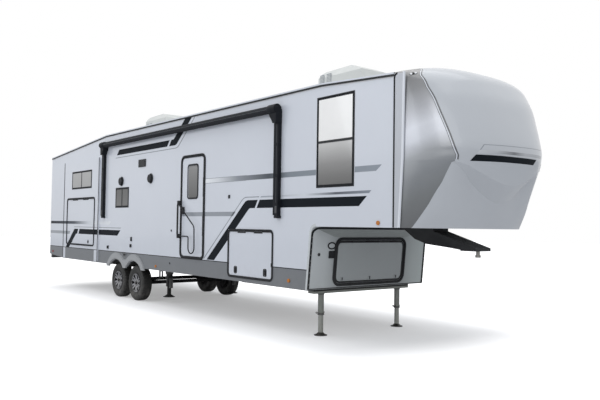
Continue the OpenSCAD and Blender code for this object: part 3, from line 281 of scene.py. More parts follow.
looks = {
    "wall": plainLook("wallGelcoat", wallColor, 0.32, shader=gel, mottle=(0.07, 0.7), dust=(0.3, 1.5),
                      grain=(35.0, 0.5), stretch=(1, 1, 0.3), bump=0.06),
    "skirt": plainLook("skirtSheet", skirtColor, 0.42, mottle=(0.12, 1.8), dust=(0.45, 1.1), grain=(400.0, 0.2)),
    # The bulkhead's colour is lighter towards both sides: painted sheen where the light falls on its side facets, over
    # a darker middle
    "bulkhead": rampLook("bulkheadMouldingPaintedSheen", "Y", -1.22, 1.22, [
        (0.0, (0.57, 0.60, 0.61)), (0.12, (0.53, 0.56, 0.57)), (0.24, (0.37, 0.395, 0.40)),
        (0.80, (0.35, 0.375, 0.38)), (0.88, (0.44, 0.48, 0.475)), (1.0, (0.52, 0.57, 0.56))], 0.38, shader=gel, mottle=(0.12, 1.5),
                          dust=(0.4, 1.2), grain=(160.0, 0.3)),
    "capPale": plainLook("capPaint", (0.53, 0.555, 0.59), 0.3, shader=gel, mottle=(0.06, 1.0), grain=(60.0, 0.2)),
    # The wing's silver carries a painted reflection: a bright streak across its middle height, leaning along the cap,
    # with darker bands above and below
    "capSilverWithPaintedSheen": rampLook("wingPaintWithPaintedReflection", "Z", deckZ, deckZ + 2.0, [
        (0.0, (0.15, 0.155, 0.16)), (0.14, (0.19, 0.20, 0.205)), (0.28, (0.25, 0.265, 0.28)),
        (0.40, (0.36, 0.375, 0.395)), (0.50, (0.60, 0.62, 0.67)), (0.58, (0.66, 0.68, 0.73)),
        (0.70, (0.42, 0.43, 0.46)), (0.82, (0.26, 0.265, 0.275)), (1.0, (0.18, 0.18, 0.18))],
        0.3, shader=metalPaint, mottle=(0.10, 3.0), grain=(900.0, 0.5), slant=(-0.42, 5.98)),
    "flange": plainLook("flangePaint", (0.50, 0.52, 0.56), 0.35, shader=gel, mottle=(0.06, 2.0)),
    # Pale paint for the cap's piping line, and a painted highlight on the flange's front bead
    "palePipingAndHighlight": plainLook("palePipingAndHighlightPaint", (0.72, 0.75, 0.80), 0.25, shader=gel, mottle=(0.05, 2.0)),
    "trim": plainLook("trimBlack", blackColor, 0.6, shader=dull, mottle=(0.2, 6.0), dust=(0.25, 1.2), grain=(500.0, 0.4),
                      wear=0.1),
    "frame": plainLook("chassisPaint", (0.018, 0.018, 0.02), 0.6, shader=dull, mottle=(0.3, 3.0), dust=(0.15, 0.9),
                       grain=(300.0, 0.4), wear=0.35),
    "legs": rampLook("legSteel", "Z", 0.0, 0.7, [
        (0.0, (0.02, 0.02, 0.02)), (0.065, (0.34, 0.35, 0.32)), (0.42, (0.30, 0.31, 0.28)),
        (0.43, (0.03, 0.03, 0.03)), (0.47, (0.22, 0.23, 0.21)), (0.93, (0.02, 0.02, 0.02))],
        0.38, hard=True, shader={"Metallic": 0.6}, mottle=(0.35, 14.0), dust=(0.3, 0.5), grain=(250.0, 0.4)),
    "kingpin": plainLook("kingpinSteel", (0.30, 0.29, 0.27), 0.34, shader=steel, mottle=(0.5, 25.0),
                         grain=(600.0, 0.4)),
    "underbelly": plainLook("underbellySheet", (0.02, 0.02, 0.022), 0.65, mottle=(0.3, 2.0), dust=(0.6, 0.9),
                            grain=(120.0, 0.6), stretch=(1, 8, 1), bump=0.3),
    "floor": plainLook("floorBoard", (0.30, 0.22, 0.15), 0.45, mottle=(0.5, 3.0), grain=(30.0, 0.6),
                       stretch=(0.3, 6, 6)),
    "liner": plainLook("bayLiner", (0.42, 0.41, 0.39), 0.7, mottle=(0.1, 3.0), grain=(120.0, 0.5)),
    "deck": plainLook("deckBoard", (0.50, 0.52, 0.52), 0.5, mottle=(0.1, 2.0), grain=(80.0, 0.3)),
    "roof": plainLook("roofMembrane", (0.70, 0.71, 0.72), 0.6, mottle=(0.12, 0.8), grain=(90.0, 0.5)),
    "unit": plainLook("shroudPlastic", (0.60, 0.615, 0.60), 0.5, mottle=(0.1, 3.0), grain=(260.0, 0.5), bump=0.15),
    "awning": plainLook("awningMetal", (0.015, 0.017, 0.021), 0.5, shader=dull, mottle=(0.2, 4.0),
                        grain=(300.0, 0.3), stretch=(0.1, 1, 1)),
    "fabric": plainLook("awningVinyl", (0.030, 0.032, 0.036), 0.7, shader=dull, mottle=(0.25, 5.0), grain=(60.0, 0.8),
                        stretch=(6, 1, 1), bump=0.2),
    "fender": plainLook("fenderMoulding", (0.34, 0.35, 0.36), 0.42, mottle=(0.1, 3.0), dust=(0.3, 1.1),
                        grain=(300.0, 0.4)),
    "rubber": plainLook("tyreRubber", (0.017, 0.017, 0.016), 0.62, mottle=(0.35, 6.0), dust=(0.3, 0.6),
                        grain=(350.0, 0.8), bump=0.15),
    "rimBlack": plainLook("rimPaint", (0.012, 0.012, 0.014), 0.4, shader=dull, mottle=(0.2, 9.0),
                          dust=(0.35, 0.6)),
    "rimMetal": plainLook("rimMachined", (0.36, 0.36, 0.37), 0.3, shader={"Metallic": 0.8}, mottle=(0.5, 14.0),
                          dust=(0.1, 0.6), grain=(700.0, 0.4)),
    "amber": plainLook("amberLens", (0.52, 0.17, 0.012), 0.15, shader={"Coat Weight": 0.2}, mottle=(0.2, 60.0)),
    "red": plainLook("redLens", (0.42, 0.012, 0.012), 0.15, shader={"Coat Weight": 0.6}, mottle=(0.2, 60.0)),
    "clear": plainLook("clearLens", (0.75, 0.77, 0.80), 0.1, shader={"Coat Weight": 0.6}, mottle=(0.1, 60.0)),
    "chrome": plainLook("chromeTrim", (0.62, 0.63, 0.65), 0.14, shader={"Metallic": 0.95}, mottle=(0.1, 20.0)),
    "blackPaint": plainLook("graphicBlack", (0.007, 0.010, 0.014), 0.6, shader=dull, mottle=(0.2, 2.0)),
    "darkPaint": plainLook("graphicDark", (0.11, 0.115, 0.125), 0.3, shader=gel, mottle=(0.15, 2.0)),
    "greyPaint": plainLook("graphicGrey", (0.26, 0.285, 0.32), 0.32, shader=gel, mottle=(0.12, 2.0)),
    "bulkheadShade": plainLook("bulkheadShadeSheetPaint", (0.30, 0.325, 0.32), 0.4, shader=gel, mottle=(0.12, 1.5)),
    "palePaint": plainLook("graphicPale", (0.78, 0.80, 0.82), 0.3, shader=gel, mottle=(0.05, 2.0)),
    # Dark metal for the lines on the awning arms, also used for the roller's painted highlight line
    "armLineAndRollerHighlight": plainLook("armLineAndRollerHighlightMetal", (0.075, 0.08, 0.09), 0.3, shader={"Metallic": 0.6}, mottle=(0.2, 8.0)),
    "bolt": plainLook("boltZinc", (0.34, 0.34, 0.33), 0.4, shader=steel, mottle=(0.4, 60.0), dust=(0.3, 1.2)),
    "mesh": plainLook("louvreGrey", (0.055, 0.057, 0.062), 0.6, mottle=(0.3, 8.0), grain=(500.0, 0.6)),
}
print("finishes made")

# Mesh helpers

def newPiece(name, verts, faces, body, look, smooth=False):
    mesh = bpy.data.meshes.new(name)
    mesh.from_pydata([tuple(v) for v in verts], [], faces)
    mesh.update()
    mesh.materials.append(looks[look] if isinstance(look, str) else look)
    if smooth:
        mesh.shade_smooth()
    piece = bpy.data.objects.new(name, mesh)
    scene.collection.objects.link(piece)
    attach(piece, body)
    return piece


def smoothByAngle(piece, degrees):
    mesh = bmesh.new()
    mesh.from_mesh(piece.data)
    bmesh.ops.recalc_face_normals(mesh, faces=mesh.faces)
    for face in mesh.faces:
        face.smooth = True
    for edge in mesh.edges:
        edge.smooth = len(edge.link_faces) == 2 and edge.calc_face_angle(0) < math.radians(degrees)
    mesh.to_mesh(piece.data)
    mesh.free()


class Heap:
    # Many small solids gathered into one mesh

    def __init__(self):
        self.verts = []
        self.faces = []

    def add(self, verts, faces):
        start = len(self.verts)
        self.verts += verts
        self.faces += [[start + i for i in face] for face in faces]

    def box(self, low, high):
        corners = [Vector((x, y, z)) for x in (low[0], high[0]) for y in (low[1], high[1]) for z in (low[2], high[2])]
        self.add(corners, [(0, 1, 3, 2), (4, 6, 7, 5), (0, 4, 5, 1), (2, 3, 7, 6), (0, 2, 6, 4), (1, 5, 7, 3)])

    def lathe(self, profile, centre, axis, steps=24, closed=False):
        # profile: (distance along the axis, radius)
        axis = Vector(axis).normalized()
        side = axis.orthogonal().normalized()
        other = axis.cross(side)
        rows = len(profile)
        verts = []
        for k in range(steps):
            turn = 2 * math.pi * k / steps
            out = side * math.cos(turn) + other * math.sin(turn)
            verts += [Vector(centre) + axis * along + out * radius for along, radius in profile]
        faces = []
        spans = rows if closed else rows - 1
        for k in range(steps):
            here, there = k * rows, (k + 1) % steps * rows
            faces += [(here + i, here + (i + 1) % rows, there + (i + 1) % rows, there + i) for i in range(spans)]
        if not closed:
            for end in (0, rows - 1):
                if profile[end][1] > 1e-6:
                    faces.append([k * rows + end for k in range(steps)])
        self.add(verts, faces)

    def sweep(self, path, profile, out, closed=False):
        # profile: (across, height). Heights run along out, and across lies in the plane of the path
        out = Vector(out).normalized()
        count, wide = len(path), len(profile)
        verts = []
        for k, point in enumerate(path):
            to = path[(k + 1) % count] - point if closed or k < count - 1 else point - path[k - 1]
            come = point - path[k - 1] if closed or k else to
            to, come = to.normalized(), come.normalized()
            side = (come + to).normalized().cross(out)
            mitre = 1 / max(0.35, math.sqrt((1 + come.dot(to)) / 2))
            verts += [point + side * across * mitre + out * high for across, high in profile]
        faces = []
        for k in range(count if closed else count - 1):
            here, there = k * wide, (k + 1) % count * wide
            faces += [(here + i, here + (i + 1) % wide, there + (i + 1) % wide, there + i) for i in range(wide)]
        if not closed:
            faces += [list(range(wide)), [(count - 1) * wide + i for i in range(wide)]]
        self.add(verts, faces)

    def slab(self, loop, place, thick, bevel=0.0):
        # A flat plate on a face, with its outer edge bevelled. place turns (along, up, out) into a point
        centre = sum((Vector(p) for p in loop), Vector((0, 0))) / len(loop)
        rings = [(0.0, 0.0), (thick - bevel, 0.0)] + ([(thick, bevel)] if bevel else [])
        verts = []
        for out, shrink in rings:
            for p in loop:
                moved = Vector(p) + (centre - Vector(p)).normalized() * shrink
                verts.append(place(moved.x, moved.y, out))
        wide = len(loop)
        faces = [(r * wide + i, r * wide + (i + 1) % wide, (r + 1) * wide + (i + 1) % wide, (r + 1) * wide + i)
                 for r in range(len(rings) - 1) for i in range(wide)]
        faces += [list(range(wide)), [(len(rings) - 1) * wide + i for i in range(wide)]]
        self.add(verts, faces)

    def piece(self, name, body, look, slot, angle=35):
        made = newPiece(name, self.verts, self.faces, body, look)
        smoothByAngle(made, angle)
        return made


def bead(width, height):
    # Half-round section of a seal or a trim
    return [(-width / 2, 0), (-width * 0.46, height * 0.62), (-width * 0.25, height), (width * 0.25, height),
            (width * 0.46, height * 0.62), (width / 2, 0)]


def roundBar(radius, steps=10):
    return [(radius * math.cos(2 * math.pi * k / steps), radius * math.sin(2 * math.pi * k / steps))
            for k in range(steps)]


def roundedLoop(low, high, radius, steps=6):
    loop = []
    for x, y, start in ((high[0] - radius, high[1] - radius, 0), (low[0] + radius, high[1] - radius, 90),
                        (low[0] + radius, low[1] + radius, 180), (high[0] - radius, low[1] + radius, 270)):
        for k in range(steps + 1):
            turn = math.radians(start + 90 * k / steps)
            loop.append((x + radius * math.cos(turn), y + radius * math.sin(turn)))
    return loop


def boxLoop(low, high):
    return [(low[0], low[1]), (high[0], low[1]), (high[0], high[1]), (low[0], high[1])]


def onWall(side, plane):
    # Side -1 is the door side. The place is given by its X, its height and how far it stands out
    return lambda along, up, out: Vector((along, side * (plane + out), up))


def grid(points):
    # Faces over rows of points that all have one length
    wide = len(points[0])
    faces = [(i * wide + j, i * wide + j + 1, (i + 1) * wide + j + 1, (i + 1) * wide + j)
             for i in range(len(points) - 1) for j in range(wide - 1)]
    return [p for row in points for p in row], faces


# Carried-over nodes take their finish here

nodeLooks = {
    "frame": ["frame_rails", "pin_box", "axle_front", "axle_rear", "leaf_springs", "stabilizer_jacks", "rear_bumper"],
    "kingpin": ["kingpin"], "legs": ["landing_legs"], "underbelly": ["underbelly"], "floor": ["floor_panel"],
    "liner": ["bay_liner"], "deck": ["bedroom_deck"], "bulkhead": ["bulkhead", "bulkhead_hatch"],
    "wall": ["side_wall_door", "side_wall_off", "rear_wall", "entry_door", "pass_hatch_door", "pass_hatch_off",
             "bunk_room", "kitchen_hatch", "main_room"],
    "roof": ["roof_panel"], "capPale": ["nose_cap"], "flange": ["cap_flange"], "skirt": ["skirts"],
    "fender": ["fenders"], "unit": ["roof_ac", "roof_vents"], "awning": ["awning_arms"],
    "fabric": ["awning_roller"], "amber": ["lamps"],
    "trim": ["eave_rails", "hatch_rings", "window_frames", "bunk_trim", "kitchen_ring", "main_trim", "wall_fittings",
             "grab_handle"],
    "rubber": [n for n in nodes if n.startswith("tyre_")], "rimBlack": [n for n in nodes if n.startswith("rim_")],
}


def dressNode(node, *names):
    mesh = nodes[node].data
    mesh.materials.clear()
    for name in names:
        mesh.materials.append(looks[name])


def splitLooks(node, choose):
    # choose gives a face's material index from its centre and normal
    for face in nodes[node].data.polygons:
        face.material_index = choose(face.center, face.normal)


for look, names in nodeLooks.items():
    for node in names:
        dressNode(node, look)

# Black paint on latches, hinges and handle housings that stand proud of each leaf
proud = {"entry_door": -wallY, "pass_hatch_door": -wallY, "pass_hatch_off": wallY, "kitchen_hatch": -roomY}
for node, face in proud.items():
    dressNode(node, "wall", "trim")
    splitLooks(node, lambda c, n, face=face: int(abs(c.y) > abs(face) + 0.0004))
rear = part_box("rear_wall")[0].x
dressNode("lamps", "amber", "red")
splitLooks("lamps", lambda c, n: int(c.x < rear + 0.5))

# The bulkhead leans forward at its head. A place on it is given by Y, its way up from the foot, and how far it
# stands out
bulkhead = {"back": 2.020, "foot": 0.692, "lean": math.atan2(0.090, 0.908), "fillet": 0.100}
bulkheadOut = Vector((math.cos(bulkhead["lean"]), 0, -math.sin(bulkhead["lean"])))
bulkheadUp = Vector((math.sin(bulkhead["lean"]), 0, math.cos(bulkhead["lean"])))


def onBulkhead(along, up, out):
    return Vector((ahead(bulkhead["back"]), along, bulkhead["foot"])) + bulkheadUp * up + bulkheadOut * out


for node, look in (("side_wall_door", "wall"), ("side_wall_off", "wall"), ("skirts", "skirt")):
    dressNode(node, look, "trim")
    splitLooks(node, lambda c, n: int(n.x > 0.5 and c.z < 1.62 and c.x > 3.9))
dressNode("pin_box", "trim")
dressNode("bulkhead_hatch", "bulkhead", "trim")
splitLooks("bulkhead_hatch", lambda c, n: int((c - onBulkhead(0, 0, 0)).dot(bulkheadOut) > 0.008))
print("frame dressed")

# Windows: panes painted with grey gradients that stand in for the reflections in the glass, in square frames that
# replace the plain ones

panes = {
    "width": 0.034, "out": 0.0078, "seal": 0.008, "bar": 0.034,
    # name: body, side, plane, back to the rear edge, low edge, length, height, bar (1 stands, 2 lies), pane
    "list": {
        "windowFrontDoor": ("trailer", -1, wallY, 1.840, 2.140, 0.775, 1.275, 2, "paneTall"),
        "windowFrontOff": ("trailer", 1, wallY, 1.840, 2.140, 0.775, 1.275, 2, "paneTall"),
        "windowMidDoor": ("trailer", -1, wallY, 8.742, 1.941, 0.682, 0.439, 1, "paneDark"),
        "windowRearOff": ("trailer", 1, wallY, 11.356, 2.300, 1.256, 0.500, 1, "paneLight"),
        "windowBunk": ("bunk_room", -1, roomY, 11.371, 2.427, 1.286, 0.437, 1, "paneLight"),
        "windowRoomRear": ("main_room", 1, roomY, 7.600, 1.900, 1.300, 0.620, 1, "paneDark"),
        "windowRoomFront": ("main_room", 1, roomY, 5.700, 1.900, 1.300, 0.620, 1, "paneDark"),
    },
}


def paneReflectionLook(name, low, high, stops, coat=0.0):
    # The pane's colour is a painted reflection, grey or near white, running up the glass
    looks[name] = rampLook(name, "Z", low, high, [(share, (v, v * 0.99, v * 0.97)) for share, v in stops], 0.07,
                           shader={"Specular IOR Level": 0.15 + coat * 0.7, "Coat Weight": coat, "Alpha": 0.97},
                           mottle=(0.08, 1.5), grain=(3.0, 0.6), bump=0.02)


paneReflectionLook("paneTall", 2.16, 3.40, [(0.0, 0.10), (0.12, 0.16), (0.25, 0.26), (0.38, 0.44), (0.50, 0.62), (0.51, 0.95),
                                  (1.0, 1.0)], coat=0.5)
paneReflectionLook("paneDark", 1.90, 2.55, [(0.0, 0.18), (0.4, 0.15), (1.0, 0.11)])
paneReflectionLook("paneLight", 2.30, 2.90, [(0.0, 0.40), (1.0, 0.46)])
paneReflectionLook("paneDoor", 2.09, 2.68, [(0.0, 0.15), (0.5, 0.22), (1.0, 0.30)])
dressNode("entry_glass", "paneDoor")


def buildWindow(name, body, side, plane, back, low, length, height, bar, look):
    place = onWall(side, plane + 0.0004)
    left, right, high = ahead(back), ahead(back - length), low + height
    wide, out = panes["width"], panes["out"]
    frameHeap, sealHeap, glassHeap = Heap(), Heap(), Heap()
    inset = wide / 2
    path = [place(x, z, 0) for x, z in boxLoop((left + inset, low + inset), (right - inset, high - inset))]
    frameHeap.sweep(path, [(-wide / 2, 0), (-wide / 2, out * 0.5), (-wide * 0.3, out), (wide * 0.22, out),
                           (wide * 0.42, out * 0.7), (wide / 2, 0)], (0, side, 0), closed=True)
    middleX, middleZ, half = (left + right) / 2, (low + high) / 2, panes["bar"] / 2
    if bar == 1:
        frameHeap.slab(boxLoop((middleX - half, low + wide * 0.8), (middleX + half, high - wide * 0.8)), place,
                       out * 0.9, 0.003)
    if bar == 2:
        frameHeap.slab(boxLoop((left + wide * 0.8, middleZ - half), (right - wide * 0.8, middleZ + half)), place,
                       out * 0.9, 0.003)
    inner = wide + panes["seal"] / 2
    path = [place(x, z, 0) for x, z in boxLoop((left + inner, low + inner), (right - inner, high - inner))]
    sealHeap.sweep(path, bead(panes["seal"], 0.005), (0, side, 0), closed=True)
    glassHeap.slab(boxLoop((left + wide * 0.7, low + wide * 0.7), (right - wide * 0.7, high - wide * 0.7)), place, 0.003)
    made = [frameHeap.piece(name + "Frame", body, "trim", "trim"), sealHeap.piece(name + "Seal", body, "trim", "trim"),
            glassHeap.piece(name + "Pane", body, look, "glass")]
    return made


windowPieces = {name: buildWindow(name, *row) for name, row in panes["list"].items()}
fixedWindows = [name for name, row in panes["list"].items() if row[0] == "trailer"]
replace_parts(windowPieces["windowFrontDoor"][0], "window_frames")
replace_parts(windowPieces["windowFrontDoor"][2], "window_glass")

# Black strips at the two ends of each room's face, which stood in one node with the windows
for node, body, side, name in (("bunk_trim", "bunk_room", -1, "windowBunk"), ("main_trim", "main_room", 1, "windowRoomRear")):
    low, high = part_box(node)
    strips = Heap()
    for x, depth in ((low.x, 1), (high.x, -1)):
        middle = x + depth * 0.011
        strips.sweep([onWall(side, roomY + 0.0004)(middle, z, 0) for z in (low.z, high.z)], bead(0.022, 0.0075), (0, side, 0))
    strip = strips.piece(body + "EdgeStrips", body, "trim", "trim")
    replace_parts(strip, node)
print("windows made")

# Nose cap: heights over its chin at the seam and at the nose, then reach at the nose and at the side wing

cap = {
    "rows": (
        (0, 0, 0.520, 0.455), (0.200, 0.090, 0.560, 0.600), (0.440, 0.180, 0.602, 0.720),
        (0.650, 0.255, 0.637, 0.832), (0.800, 0.320, 0.670, 0.905), (0.815, 0.537, 0.843, 0.915),
        (0.865, 0.700, 0.880, 0.925), (0.925, 0.869, 0.929, 0.929), (1.015, 1.010, 0.937, 0.937),
        (1.190, 1.190, 0.893, 0.893), (1.370, 1.370, 0.835, 0.835), (1.545, 1.545, 0.770, 0.770),
        (1.680, 1.680, 0.680, 0.680), (1.770, 1.770, 0.606, 0.606), (1.830, 1.830, 0.520, 0.520),
        (1.870, 1.870, 0.425, 0.425), (1.902, 1.902, 0.310, 0.310), (1.920, 1.920, 0.195, 0.195),
        (1.930, 1.930, 0, 0)),
    "seam": 0.350, "crown": 0.155, "bluntness": 2.75, "wingFrom": 20, "wingTo": 54, "thick": 0.040,
    "inset": 0.002, "paint": 0.0012, "across": 96, "perRow": 4, "creases": (4, 5),
    # Edge of the silver wing: row of the cap, degrees from the nose
    "wingEdge": ((0, 67), (1.4, 57.5), (2.5, 52), (4.8, 47.5), (6.3, 47.5), (8.6, 52.5), (10.5, 57.5), (12, 61),
                 (13.8, 62), (17, 51), (18, 46)),
    "piping": ((0.0, 0.4, "darkPaint"), (0.4, 1.2, "palePipingAndHighlight"), (1.2, 2.3, "darkPaint")),
}


def ease(t):
    t = min(1.0, max(0.0, t))
    return t * t * (3 - 2 * t)


def capRow(s):
    # Rows blended smoothly, and kept between their two neighbours so that no lip overshoots
    rows = cap["rows"]
    i = min(int(s), len(rows) - 2)
    t = s - i
    before, a, b, after = (rows[min(len(rows) - 1, max(0, k))] for k in (i - 1, i, i + 1, i + 2))
    if i in cap["creases"]:
        before = [2 * q - r for q, r in zip(a, b)]
    if i + 1 in cap["creases"]:
        after = [2 * r - q for q, r in zip(a, b)]
    mixed = []
    for p, q, r, n in zip(before, a, b, after):
        value = 0.5 * (2 * q + (r - p) * t + (2 * p - 5 * q + 4 * r - n) * t * t + (3 * q - p - 3 * r + n) * t ** 3)
        mixed.append(min(max(q, r), max(min(q, r), value)))
    return mixed


def capPoint(s, u, inset):
    edge, nose, noseReach, wingReach = capRow(s)
    turn = math.radians(u)
    plan = math.sqrt(max(0.0, 1 - abs(math.sin(turn)) ** cap["bluntness"]))
    reach = noseReach + (wingReach - noseReach) * ease((abs(u) - cap["wingFrom"]) / (cap["wingTo"] - cap["wingFrom"]))
    tall = cap["rows"][-1][0]
    up = nose + (edge - nose) * ease(abs(u) / cap["wingTo"]) + cap["crown"] * (edge / tall) ** 4 * plan ** 2
    return Vector((
        ahead(cap["seam"]) + max(0.0, reach - inset) * plan,
        (wallY - inset) * math.sin(turn),
        deckZ + up * (1 - inset / tall),
    ))


def capRowAt(z, u):
    low, high = 0.0, len(cap["rows"]) - 1.0
    for _ in range(26):
        middle = (low + high) / 2
        if capPoint(middle, u, 0).z < z:
            low = middle
        else:
            high = middle
    return (low + high) / 2


def tableAt(table, s):
    for (a, u), (b, v) in zip(table, table[1:]):
        if s <= b:
            return u + (v - u) * ease((s - a) / (b - a)) if b - a > 2.5 else u + (v - u) * (s - a) / (b - a)
    return table[-1][1]


def buildCap():
    last = len(cap["rows"]) - 1
    levels = [k / cap["perRow"] for k in range(last * cap["perRow"] + 1)]
    turns = [-90 + 180 * k / cap["across"] for k in range(cap["across"] + 1)]
    outer = [[capPoint(s, u, cap["inset"]) for u in turns] for s in levels]
    inner = [[capPoint(s, u, cap["thick"]) for u in turns] for s in levels]
    verts, faces = grid(outer)
    innerVerts, innerFaces = grid(inner)
    start = len(verts)
    faces += [tuple(start + i for i in reversed(face)) for face in innerFaces]
    wide = len(turns)
    rim = [k for k in range(wide)] + [r * wide + wide - 1 for r in range(1, len(levels))]
    rim += [(len(levels) - 1) * wide + k for k in range(wide - 2, -1, -1)]
    rim += [r * wide for r in range(len(levels) - 2, 0, -1)]
    faces += [(a, b, start + b, start + a) for a, b in zip(rim, rim[1:] + rim[:1])]
    shell = newPiece("noseCapShell", verts + innerVerts, faces, "trailer", "capPale")
    smoothByAngle(shell, 32)
    for edge in shell.data.edges:
        a, b = edge.vertices
        if a < start and a // wide == b // wide and a // wide in [row * cap["perRow"] for row in cap["creases"]]:
            edge.use_edge_sharp = abs(turns[a % wide]) < cap["wingTo"]
    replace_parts(shell, "nose_cap")


def capPatch(name, first, last, edges, look, lift=None, across=16, perRow=5):
    # A layer of paint on the cap between two rows. edges gives its two angles at a row
    inset = cap["inset"] - (cap["paint"] if lift is None else lift)
    count = max(2, round((last - first) * perRow))
    rows = []
    for k in range(count + 1):
        s = first + (last - first) * k / count
        a, b = edges(s)
        rows.append([capPoint(s, a + (b - a) * j / across, inset) for j in range(across + 1)])
    verts, faces = grid(rows)
    return newPiece(name, verts, faces, "trailer", look, smooth=True)


def capBand(name, corners, look, layer=1, across=60):
    # corners: angle and height of the lower left, lower right, upper right and upper left
    (a, az), (b, bz), (c, cz), (d, dz) = corners
    rows = []
    for k in range(4):
        t = k / 3
        left, leftZ, right, rightZ = a + (d - a) * t, az + (dz - az) * t, b + (c - b) * t, bz + (cz - bz) * t
        row = []
        for j in range(across + 1):
            u = left + (right - left) * j / across
            z = leftZ + (rightZ - leftZ) * j / across
            row.append(capPoint(capRowAt(z, u), u, cap["inset"] - cap["paint"] * layer * 0.6))
        rows.append(row)
    verts, faces = grid(rows)
    return newPiece(name, verts, faces, "trailer", look, smooth=True)


buildCap()
for side, mirrorSide in (("Door", -1), ("Off", 1)):
    capPatch("capWing" + side, 0, 18, lambda s: (90 * mirrorSide, mirrorSide * tableAt(cap["wingEdge"], s)),
             "capSilverWithPaintedSheen", across=20)
    for number, (near, far, look) in enumerate(cap["piping"]):
        capPatch(f"capPiping{side}{number}", 5.4, 17.0,
                 lambda s: (mirrorSide * (tableAt(cap["wingEdge"], s) - near),
                            mirrorSide * (tableAt(cap["wingEdge"], s) - far)),
                 look, lift=cap["paint"] * 1.6, across=2)

looks["noseFade"] = rampLook("noseFade", "Y", -0.70, 0.70, [
    (0.0, (0.62, 0.64, 0.67)), (0.22, (0.50, 0.52, 0.55)), (0.45, (0.13, 0.14, 0.16)), (0.62, (0.42, 0.44, 0.47)),
    (1.0, (0.26, 0.28, 0.31))], 0.3, shader=gel)
capBand("noseBarBlack", ((-37, 2.41), (20.5, 2.427), (23.5, 2.499), (-34, 2.488)), "blackPaint")
capBand("noseBarFade", ((-33.2, 2.508), (33, 2.528), (33.8, 2.566), (-31.8, 2.544)), "noseFade")
capBand("noseBarLine", ((-29.5, 2.606), (34.2, 2.636), (34.5, 2.643), (-29, 2.613)), "greyPaint", across=50)
capBand("noseBarEnd", ((-31.9, 2.544), (-31.2, 2.544), (-28.5, 2.61), (-29.2, 2.61)), "greyPaint", across=3)
print("nose cap made")

# Painted stripes. An outline is a list of (back from the kingpin, height) with a corner radius where it is round


def roundOutline(points, steps=8):
    made = []
    for k, point in enumerate(points):
        here = Vector(point[:2])
        if len(point) < 3:
            made.append(here)
            continue
        toPrev = (Vector(points[k - 1][:2]) - here).normalized()
        toNext = (Vector(points[(k + 1) % len(points)][:2]) - here).normalized()
        half = toPrev.angle(toNext) / 2
        reach = point[2] / math.tan(half)
        centre = here + (toPrev + toNext).normalized() * point[2] / math.sin(half)
        a, b = here + toPrev * reach - centre, here + toNext * reach - centre
        turn = a.angle_signed(b)
        for j in range(steps + 1):
            made.append(centre + Matrix.Rotation(-turn * j / steps, 2) @ a)
    return made


def clipPolygon(points, axis, limit, above):
    kept = []
    for a, b in zip(points, points[1:] + points[:1]):
        insideA = (a[axis] >= limit) == above
        insideB = (b[axis] >= limit) == above
        if insideA:
            kept.append(a)
        if insideA != insideB:
            kept.append(a + (b - a) * ((limit - a[axis]) / (b[axis] - a[axis])))
    return kept


def takeBox(polygons, low, high):
    # Splits polygons into those in a box and those out of it
    inside, outside = [], []
    for rest in polygons:
        for axis, limit, above in ((0, low[0], True), (0, high[0], False), (1, low[1], True), (1, high[1], False)):
            outside.append(clipPolygon(rest, axis, limit, not above))
            rest = clipPolygon(rest, axis, limit, above)
            if len(rest) < 3:
                break
        inside.append(rest)
    return [p for p in inside if len(p) > 2], [p for p in outside if len(p) > 2]


def nodeRegion(node, body, plane, top=0.0):
    low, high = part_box(node)
    return (low.x, low.z), (high.x, high.z - top), body, plane


def windowRegion(back, low, length, height):
    return (ahead(back), low), (ahead(back - length), low + height), None, 0


regions = {
    -1: [
        nodeRegion("kitchen_hatch", "kitchen_hatch", roomY, top=0.03),
        nodeRegion("bunk_room", "bunk_room", roomY),
        nodeRegion("entry_door", "entry_door", wallY),
        windowRegion(5.758, 0.984, 0.861, 1.876),
        windowRegion(4.102, 0.757, 1.252, 0.774),
        windowRegion(1.85, 2.13, 0.795, 1.295),
    ],
    1: [
        windowRegion(5.71, 1.89, 1.32, 0.64),
        windowRegion(7.61, 1.89, 1.32, 0.64),
        nodeRegion("main_room", "main_room", roomY),
        windowRegion(4.102, 0.757, 1.252, 0.774),
        windowRegion(1.85, 2.13, 0.795, 1.295),
    ],
}


def stripe(name, points, look, sides=(-1, 1), layer=1):
    outline = [Vector((ahead(p.x), p.y)) for p in roundOutline(points)]
    triangles = tessellate_polygon([[p.to_3d() for p in outline]])
    whole = [[outline[i] for i in triangle] for triangle in triangles]
    for side in sides:
        rest = whole
        parts = []
        for low, high, body, plane in regions[side]:
            inside, rest = takeBox(rest, low, high)
            if body and inside:
                parts.append((inside, body, plane))
        parts.append((rest, "trailer", wallY))
        for inside, body, plane in parts:
            heap = Heap()
            for polygon in inside:
                flat = [Vector((p.x, side * (abs(plane) + paintLift * layer), p.y)) for p in polygon]
                area = sum((b - flat[0]).cross(c - flat[0]).y for b, c in zip(flat[1:], flat[2:]))
                if abs(area) > 1e-8:
                    heap.add(flat if area * side > 0 else flat[::-1], [list(range(len(flat)))])
            if heap.faces:
                newPiece(f"{name}_{body}_{'door' if side < 0 else 'off'}", heap.verts, heap.faces, body, look)


def fadeLook(name, fromBack, toBack, stops):
    looks[name] = rampLook(name, "X", ahead(fromBack), ahead(toBack), stops, 0.5, shader=dull)
    return name


silver = (0.66, 0.69, 0.73)
mid = (0.27, 0.30, 0.34)
dark = (0.02, 0.022, 0.027)
